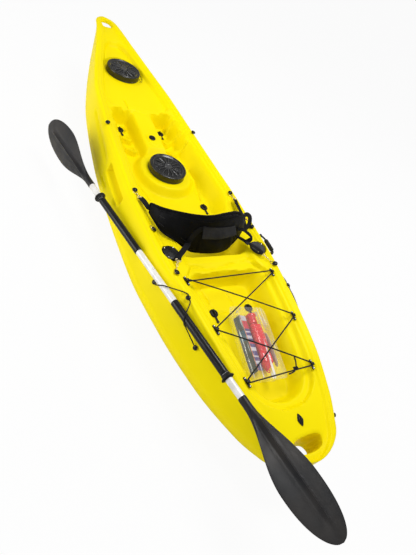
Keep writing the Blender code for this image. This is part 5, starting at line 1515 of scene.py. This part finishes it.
def cloth_strip(name, rows, thickness):
    """A sheet through rows of points, with a real thickness."""
    long, wide = len(rows) - 1, len(rows[0]) - 1
    item = primitive("grid", x_subdivisions=long, y_subdivisions=wide, size=1)
    item.name = name
    for vert in item.data.vertices:
        vert.co = rows[round((vert.co.x + 0.5) * long)][round((vert.co.y + 0.5) * wide)]
    remade(item, "SOLIDIFY", thickness=thickness, offset=0)
    remade(item, "BEVEL", width=thickness * 0.3, segments=2, limit_method="ANGLE")
    mended(item, normals_make_consistent={"inside": False})
    return shaded(item, 50)


rows = []
for i in range(33):
    run = i / 32
    share = 0.420 + 0.300 * run
    row = []
    for j in range(11):
        fall = j / 10
        level = 0.76 - 0.13 * run - (0.27 - 0.05 * run) * fall
        lift = 0.0040 + 0.0125 * float(smooth(0.0, 1.0, fall))
        row.append(on_seat(share, level, lift + 0.0016 * math.sin(14 * run + 1.5) * fall))
    rows.append(row)
fitted(cloth_strip("pocket_flap", rows, 0.0020), binding, "seat", "fabric")
rows = []
for i in range(41):
    t = i / 40
    share = 0.335 + 0.095 * t**1.6
    level = 0.10 + 0.60 * math.sin(math.pi / 2 * t)
    ahead, up = 0.012 * t, 0.05 * (1.1 - t)
    slope = seat_place(share + ahead, level + up) - seat_place(share - ahead, level - up)
    across = slope.normalized().cross(seat_rear(share)).normalized()
    middle = on_seat(share, level, 0.0030)
    rows.append([middle + across * (0.0125 * (j / 2 - 1)) for j in range(5)])
fitted(cloth_strip("back_webbing_band", rows, 0.0018), webbing, "seat", "fabric")
for number, (share, *levels) in enumerate(BAR_TACKS):
    tacks = [[on_seat(share + d, level, 0.0022) for d in np.linspace(-0.022, 0.022, 14)]
             for level in levels]
    tacks = join_all([wire("stitch", tack, 0.0008, 6) for tack in tacks])
    tacks.name = f"bar_tack_{number}"
    fitted(tacks, binding, "seat", "fabric")


# The straps: flat black webbing 26 mm wide from the pad to the snap hooks, doubled back
# through an adjuster on the starboard side.
STRAP_WIDTH = 0.026
STRAP_THICK = 0.0018
REAR_AT = {1: 0.33, -1: 0.77}
WING_LOOP = ((0, 0, 0), (0.002, -0.020, 0.010), (-0.012, -0.034, 0.004),
             (-0.032, -0.034, -0.020), (-0.044, -0.016, -0.040))


def strap(name, points, facing, width=STRAP_WIDTH, count=40):
    """Flat webbing along points; facing is the way its broad side looks."""
    run = through(points, count)
    facing = Vector(facing)
    rows = []
    for i, point in enumerate(run):
        along = (run[min(i + 1, count - 1)] - run[max(i - 1, 0)]).normalized()
        across = along.cross((facing - along * facing.dot(along)).normalized())
        rows.append([point + across * (width / 2 * (j / 2 - 1)) for j in range(5)])
    return cloth_strip(name, rows, STRAP_THICK)


for side, sign in SIDES:
    for name, far in CLIPS:
        end = Vector((far[0], sign * far[1], far[2]))
        if name == "aft":
            share = REAR_AT[sign]
            rear = seat_rear(share)
            start = on_seat(share, 0.22, 0.0012)
            near = end + Vector((0.018, -sign * 0.010, 0.0045))
            over = start.lerp(end, 0.55) + UP * 0.008
            points = [start, start + rear * 0.016, over, near, end + (near - end) * 0.15]
        else:
            share = (1 - sign) / 2
            up = seat_place(share, 1) - seat_place(share, 0)
            out = up.cross(seat_rear(share)).normalized() * -sign
            start = seat_place(share, 0.5) + out * 0.0008
            near = end + (start - end).normalized() * 0.003
            points = [start, start + out * 0.008, start.lerp(end, 0.6), near]
        item = strap(f"webbing_{name}_{side}", points, (0, 0.2 * sign, 1))
        fitted(item, webbing, None, "webbing", f"seat_strap_{name}_{side}")
        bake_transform(item)

wing = seat_place(1.0, 0.80)
loop = [wing + Vector(step) for step in WING_LOOP] + [seat_place(0.985, 0.30)]
loop = strap("wing_loop", loop, (-0.7, 0.3, 0.65), 0.022, 36)
fitted(loop, binding, "seat", "webbing")
middle = wing + Vector((-0.018, -0.012, -0.004))
slider = ring_of("wing_slider", middle, Vector((0.008, 0, 0)), Vector((0, 0.010, 0.006)), 0.0018)
fitted(slider, bright_metal("copper_slider", (0.72, 0.34, 0.14), 0.3), "seat", "brass")
share = REAR_AT[-1]
rear = seat_rear(share)
start = on_seat(share, 0.46, 0.0012)
low = on_seat(share, 0.22, 0.020)
x, y, z = dict(CLIPS)["aft"]
clip = Vector((x, -y, z))
join = low.lerp(clip, 0.30) + UP * 0.004
slack = [start, start + rear * 0.020 + Vector((0, -0.012, 0.006)),
         start.lerp(join, 0.55) + rear * 0.018 + Vector((0, -0.030, 0.004)), join]
slack = strap("strap_slack", slack, (-0.3, -0.3, 0.9), STRAP_WIDTH * 0.9, 36)
fitted(slack, webbing, "seat", "webbing")
ahead = (clip - low).normalized()
side_way = UP.cross(ahead).normalized()
square = framed(ahead, side_way, ahead.cross(side_way), join + UP * 0.001)
ladder = slab("strap_adjuster", (0.022, 0.033, 0.0060), square, 0.0016)
fitted(ladder, nylon, "seat", "plastic")


# The safety kit under the tank bungee: a thin clear blister case, wider at its top, that
# holds a folded card, a ribbed red bailer with a finger tab, a torch and a rope pack.
KIT_PLACE = (-0.934, 0.000)
KIT_TURN = -0.197
KIT_BASE = (0.314, 0.134)
KIT_TOP = (0.350, 0.186)
KIT_HEIGHT = 0.062
KIT_WALL = 0.0012
KIT_CORNER = 13.0
RIB_STEP = 0.0135
CARD_RUN = 0.25


def kit_frame(node):
    low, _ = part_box(node)
    return at(*KIT_PLACE, low[2]) @ Matrix.Rotation(KIT_TURN, 4, "Z")


def in_kit(look, scale=(1, 1, 1)):
    origin = (*KIT_PLACE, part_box("kit_case")[0][2])
    return look.mapped(vector_type="TEXTURE", Location=origin, Rotation=(0, 0, KIT_TURN),
                       Scale=tuple(1 / s for s in scale))


def clear_plastic():
    """Thin clear moulding: see-through, whiter edge on, with streaks of painted white highlight."""
    look = Look("clear_blister")
    look.put("Base Color", (0.95, 0.95, 0.94, 1))
    look.put("Roughness", 0.12)
    facing = look.node("LayerWeight", Blend=0.30).outputs["Facing"]
    edge = look.ramp(facing, 0.05, 0.55, 0.25, 0.95)
    drawn = look.noise(1.0, 3, place=in_kit(look, (4, 42, 30)))
    # Painted highlight: streaky noise makes the white surface more opaque in glint-like streaks.
    painted_glints = look.ramp(drawn, 0.0, 0.70, 0.60, 0.68)
    look.put("Alpha", look.sum("ADD", edge, painted_glints, clamp=True))
    look.put("Normal", look.relief(drawn, 0.0012, 0.6))
    return look.made


def case_point(u, v):
    """The case's wall: inside from the middle of its top to the foot, and out again."""
    wall = [(0, 1), (0.5, 1), (0.93, 1), (1, 0.97), (1, 0.7), (1, 0.35), (1, 0.06), (1, 0)]
    stops = [(*stop, 1) for stop in wall] + [(*stop, 0) for stop in wall[::-1]]
    k = np.rint(u * (len(stops) - 1)).astype(int)
    reach, level, inside = (np.array([s[n] for s in stops], float)[k] for n in range(3))
    turn = 2 * np.pi * v
    around = np.abs(np.cos(turn)) ** KIT_CORNER + np.abs(np.sin(turn)) ** KIT_CORNER
    around = around ** (-1 / KIT_CORNER)
    flare = 0.004 * np.clip(1 - level / 0.06, 0, 1)
    half_x, half_y = (mix(low, high, level) / 2 - KIT_WALL * inside + flare
                      for low, high in zip(KIT_BASE, KIT_TOP))
    x = half_x * around * np.cos(turn)
    wave = 0.0016 * np.sin(2 * np.pi * x / RIB_STEP) * np.sin(np.pi * level) * (np.sin(turn) < -0.6)
    y = (half_y + wave) * around * np.sin(turn)
    z = KIT_HEIGHT * level - KIT_WALL * inside * (level > 0.5)
    return x * reach, y * reach, z


blister = clear_plastic()
case = bent("kit_case_shell", 15, 240, case_point, ends=False)
case.data.transform(kit_frame("kit_case"))
fitted(eased(case, 0, 40), blister, "root", "clear", "kit_case")


def red_gloss():
    """Bright red polypropylene, glossy, paler in patches."""
    look = Look("red_polypropylene")
    thin = look.noise(60.0)
    look.put("Base Color", look.ramp(thin, (0.72, 0.001, 0.006), (0.90, 0.010, 0.024), 0.35, 0.70))
    look.put("Roughness", look.ramp(look.noise(90.0), 0.10, 0.26))
    look.put("Coat Weight", 0.6)
    look.put("Coat Roughness", 0.06)
    return look.made


BAILER_LOW, BAILER_HIGH = -0.118, 0.097
BAILER_Y, BAILER_Z = -0.034, 0.008
BAILER_STOPS = (-0.118, -0.088, 0.03, 0.097)


def bailer_point(u, v):
    """The bailer: a ribbed scoop to the fore, a round tapering handle end to the aft."""
    x = BAILER_LOW + (BAILER_HIGH - BAILER_LOW) * u
    close = np.clip((x - BAILER_LOW) / 0.030, 0.02, 1) ** 0.5
    close = close * np.clip((BAILER_HIGH - x) / 0.004, 0.3, 1)
    waist = 1 - 0.16 * np.exp(-((x + 0.030) / 0.012) ** 2)
    half = np.interp(x, BAILER_STOPS, (0.022, 0.030, 0.031, 0.028)) * close * waist
    high = np.interp(x, BAILER_STOPS, (0.030, 0.043, 0.047, 0.045)) * (0.4 + 0.6 * close) * waist
    ribs = 0.0011 * np.clip(np.sin(2 * np.pi * x / RIB_STEP) * 3, -1, 1)
    ribs = ribs * (x > -0.012) * (x < 0.080)
    turn = 2 * np.pi * v
    square = (np.abs(np.cos(turn)) ** 3 + np.abs(np.sin(turn)) ** 3) ** (-1 / 3)
    y = BAILER_Y + (half - 0.0011 + ribs) * np.cos(turn) * square
    z = BAILER_Z + high / 2 + (high / 2 - 0.0011 + ribs) * np.sin(turn) * square
    return x, y, z


red = red_gloss()
scoop = bent("scoop", 150, 48, bailer_point)
middle = Vector((BAILER_LOW - 0.0045, BAILER_Y, 0.022))
ring = ring_of("tab", middle, Vector((0.0062, 0, 0)), Vector((0, 0.0062, 0)), 0.0020, 32, 10)
lip = slab("lip", (0.004, 0.044, 0.034), (BAILER_HIGH - 0.001, BAILER_Y, 0.028), 0.0015)
bailer = join_all([eased(scoop, 0, 50), ring, lip])
bailer.name = "kit_bailer_red"
bailer.data.transform(kit_frame("kit_bailer"))
fitted(bailer, red, "root", "red", "kit_bailer")
barrel = [(0, 0), (0.0155, 0), (0.0170, 0.0015)]
for k in range(5):
    low = 0.003 + 0.006 * k
    barrel += [(0.0170, low), (0.0158, low + 0.001), (0.0158, low + 0.003), (0.0170, low + 0.004)]
barrel += [(0.0170, 0.033), (0.0195, 0.035), (0.0195, 0.0425), (0.0182, 0.044), (0.0150, 0.044)]
barrel += [(0.0145, 0.0425), (0, 0.0418)]
lying = at(0.104, BAILER_Y, 0.0265) @ Matrix.Rotation(math.pi / 2, 4, "Y")
lying = lying @ Matrix.Diagonal((1.25, 1.25, 1.1, 1))
torch = turned("kit_torch_red", barrel, 56, kit_frame("kit_torch") @ lying)
fitted(eased(torch, 0.0003, 30), red, "root", "plastic", "kit_torch")


def card_print(name, paper, bars):
    """Printed card: paper with plain blocks of colour across it, soft sheen."""
    look = Look(name)
    run = look.node("ValToRGB")
    run.color_ramp.interpolation = "CONSTANT"
    run.color_ramp.elements[0].color = (*paper, 1)
    run.color_ramp.elements.remove(run.color_ramp.elements[1])
    for start, colour in bars:
        run.color_ramp.elements.new(start).color = (*colour, 1)
    place = look.along("X", in_kit(look))
    look.join(look.sum("MULTIPLY_ADD", place, 1 / CARD_RUN, 0.5), run, "Fac")
    wear = look.ramp(look.noise(120.0), 0.75, 1.0, 0.3, 0.6)
    look.put("Base Color", look.blend(1.0, run.outputs[0], wear, "MULTIPLY"))
    look.put("Roughness", look.ramp(look.noise(200.0, 3), 0.30, 0.48))
    return look.made


slate = (0.035, 0.055, 0.080)
violet = (0.085, 0.045, 0.19)
pale = (0.62, 0.60, 0.66)
crimson = (0.62, 0.02, 0.05)
back_look = card_print("slate_card", slate, ((0.58, (0.012, 0.10, 0.30)), (0.78, slate)))
face_look = card_print("printed_card", violet, (
    (0.12, pale), (0.17, violet), (0.24, pale), (0.27, violet), (0.36, pale), (0.43, violet),
    (0.50, crimson), (0.53, violet), (0.60, pale), (0.66, violet), (0.72, pale), (0.75, violet),
    (0.80, crimson), (0.96, pale)))
here = kit_frame("kit_card")
standing = here @ at(0.008, 0.044, 0) @ Matrix.Rotation(0.30, 4, "X")
card = slab("kit_card_back", (0.275, 0.0012, 0.040), standing @ at(0, 0, 0.0205), 0.0004)
fitted(card, back_look, "root", "card", "kit_card")
top = standing @ Vector((0, 0, 0.0412))
folded = at(*top) @ Matrix.Rotation(KIT_TURN, 4, "Z") @ Matrix.Rotation(1.72, 4, "X")
face = slab("kit_card_face", (0.268, 0.0010, 0.030), folded @ at(0, 0, 0.0150), 0.0003)
fitted(face, face_look, "root", "card")
turn = here.to_3x3()
fold = [top + turn @ Vector((d, 0, 0.0008)) for d in np.linspace(-0.136, 0.136, 24)]
fold = wire("kit_card_fold", fold, 0.0012, 8)
fitted(fold, bright_metal("copper_edge", (0.72, 0.30, 0.16), 0.35), "root", "card")


def rope_pack_point(u, v):
    """A pack of thin line wound round itself, flattened between bailer and wall."""
    x = -0.112 + 0.165 * u
    reach = np.clip(np.sin(np.pi * u), 0.0, 1) ** 0.3 + 0.02
    turn = 2 * np.pi * v
    strand = 0.0011 * np.sin(2 * np.pi * (x / 0.0042 + v))
    y = -0.0725 + (0.0060 * reach + strand) * np.cos(turn)
    return x, y, 0.040 + (0.0120 * reach + strand) * np.sin(turn)


line = braided("rope_pack_line", (0.50, 0.40, 0.30), (0.80, 0.76, 0.70))
pack = bent("kit_rope_pack", 330, 32, rope_pack_point)
pack.data.transform(kit_frame("kit_bailer"))
fitted(eased(pack, 0, 60), line, "root", "cord")
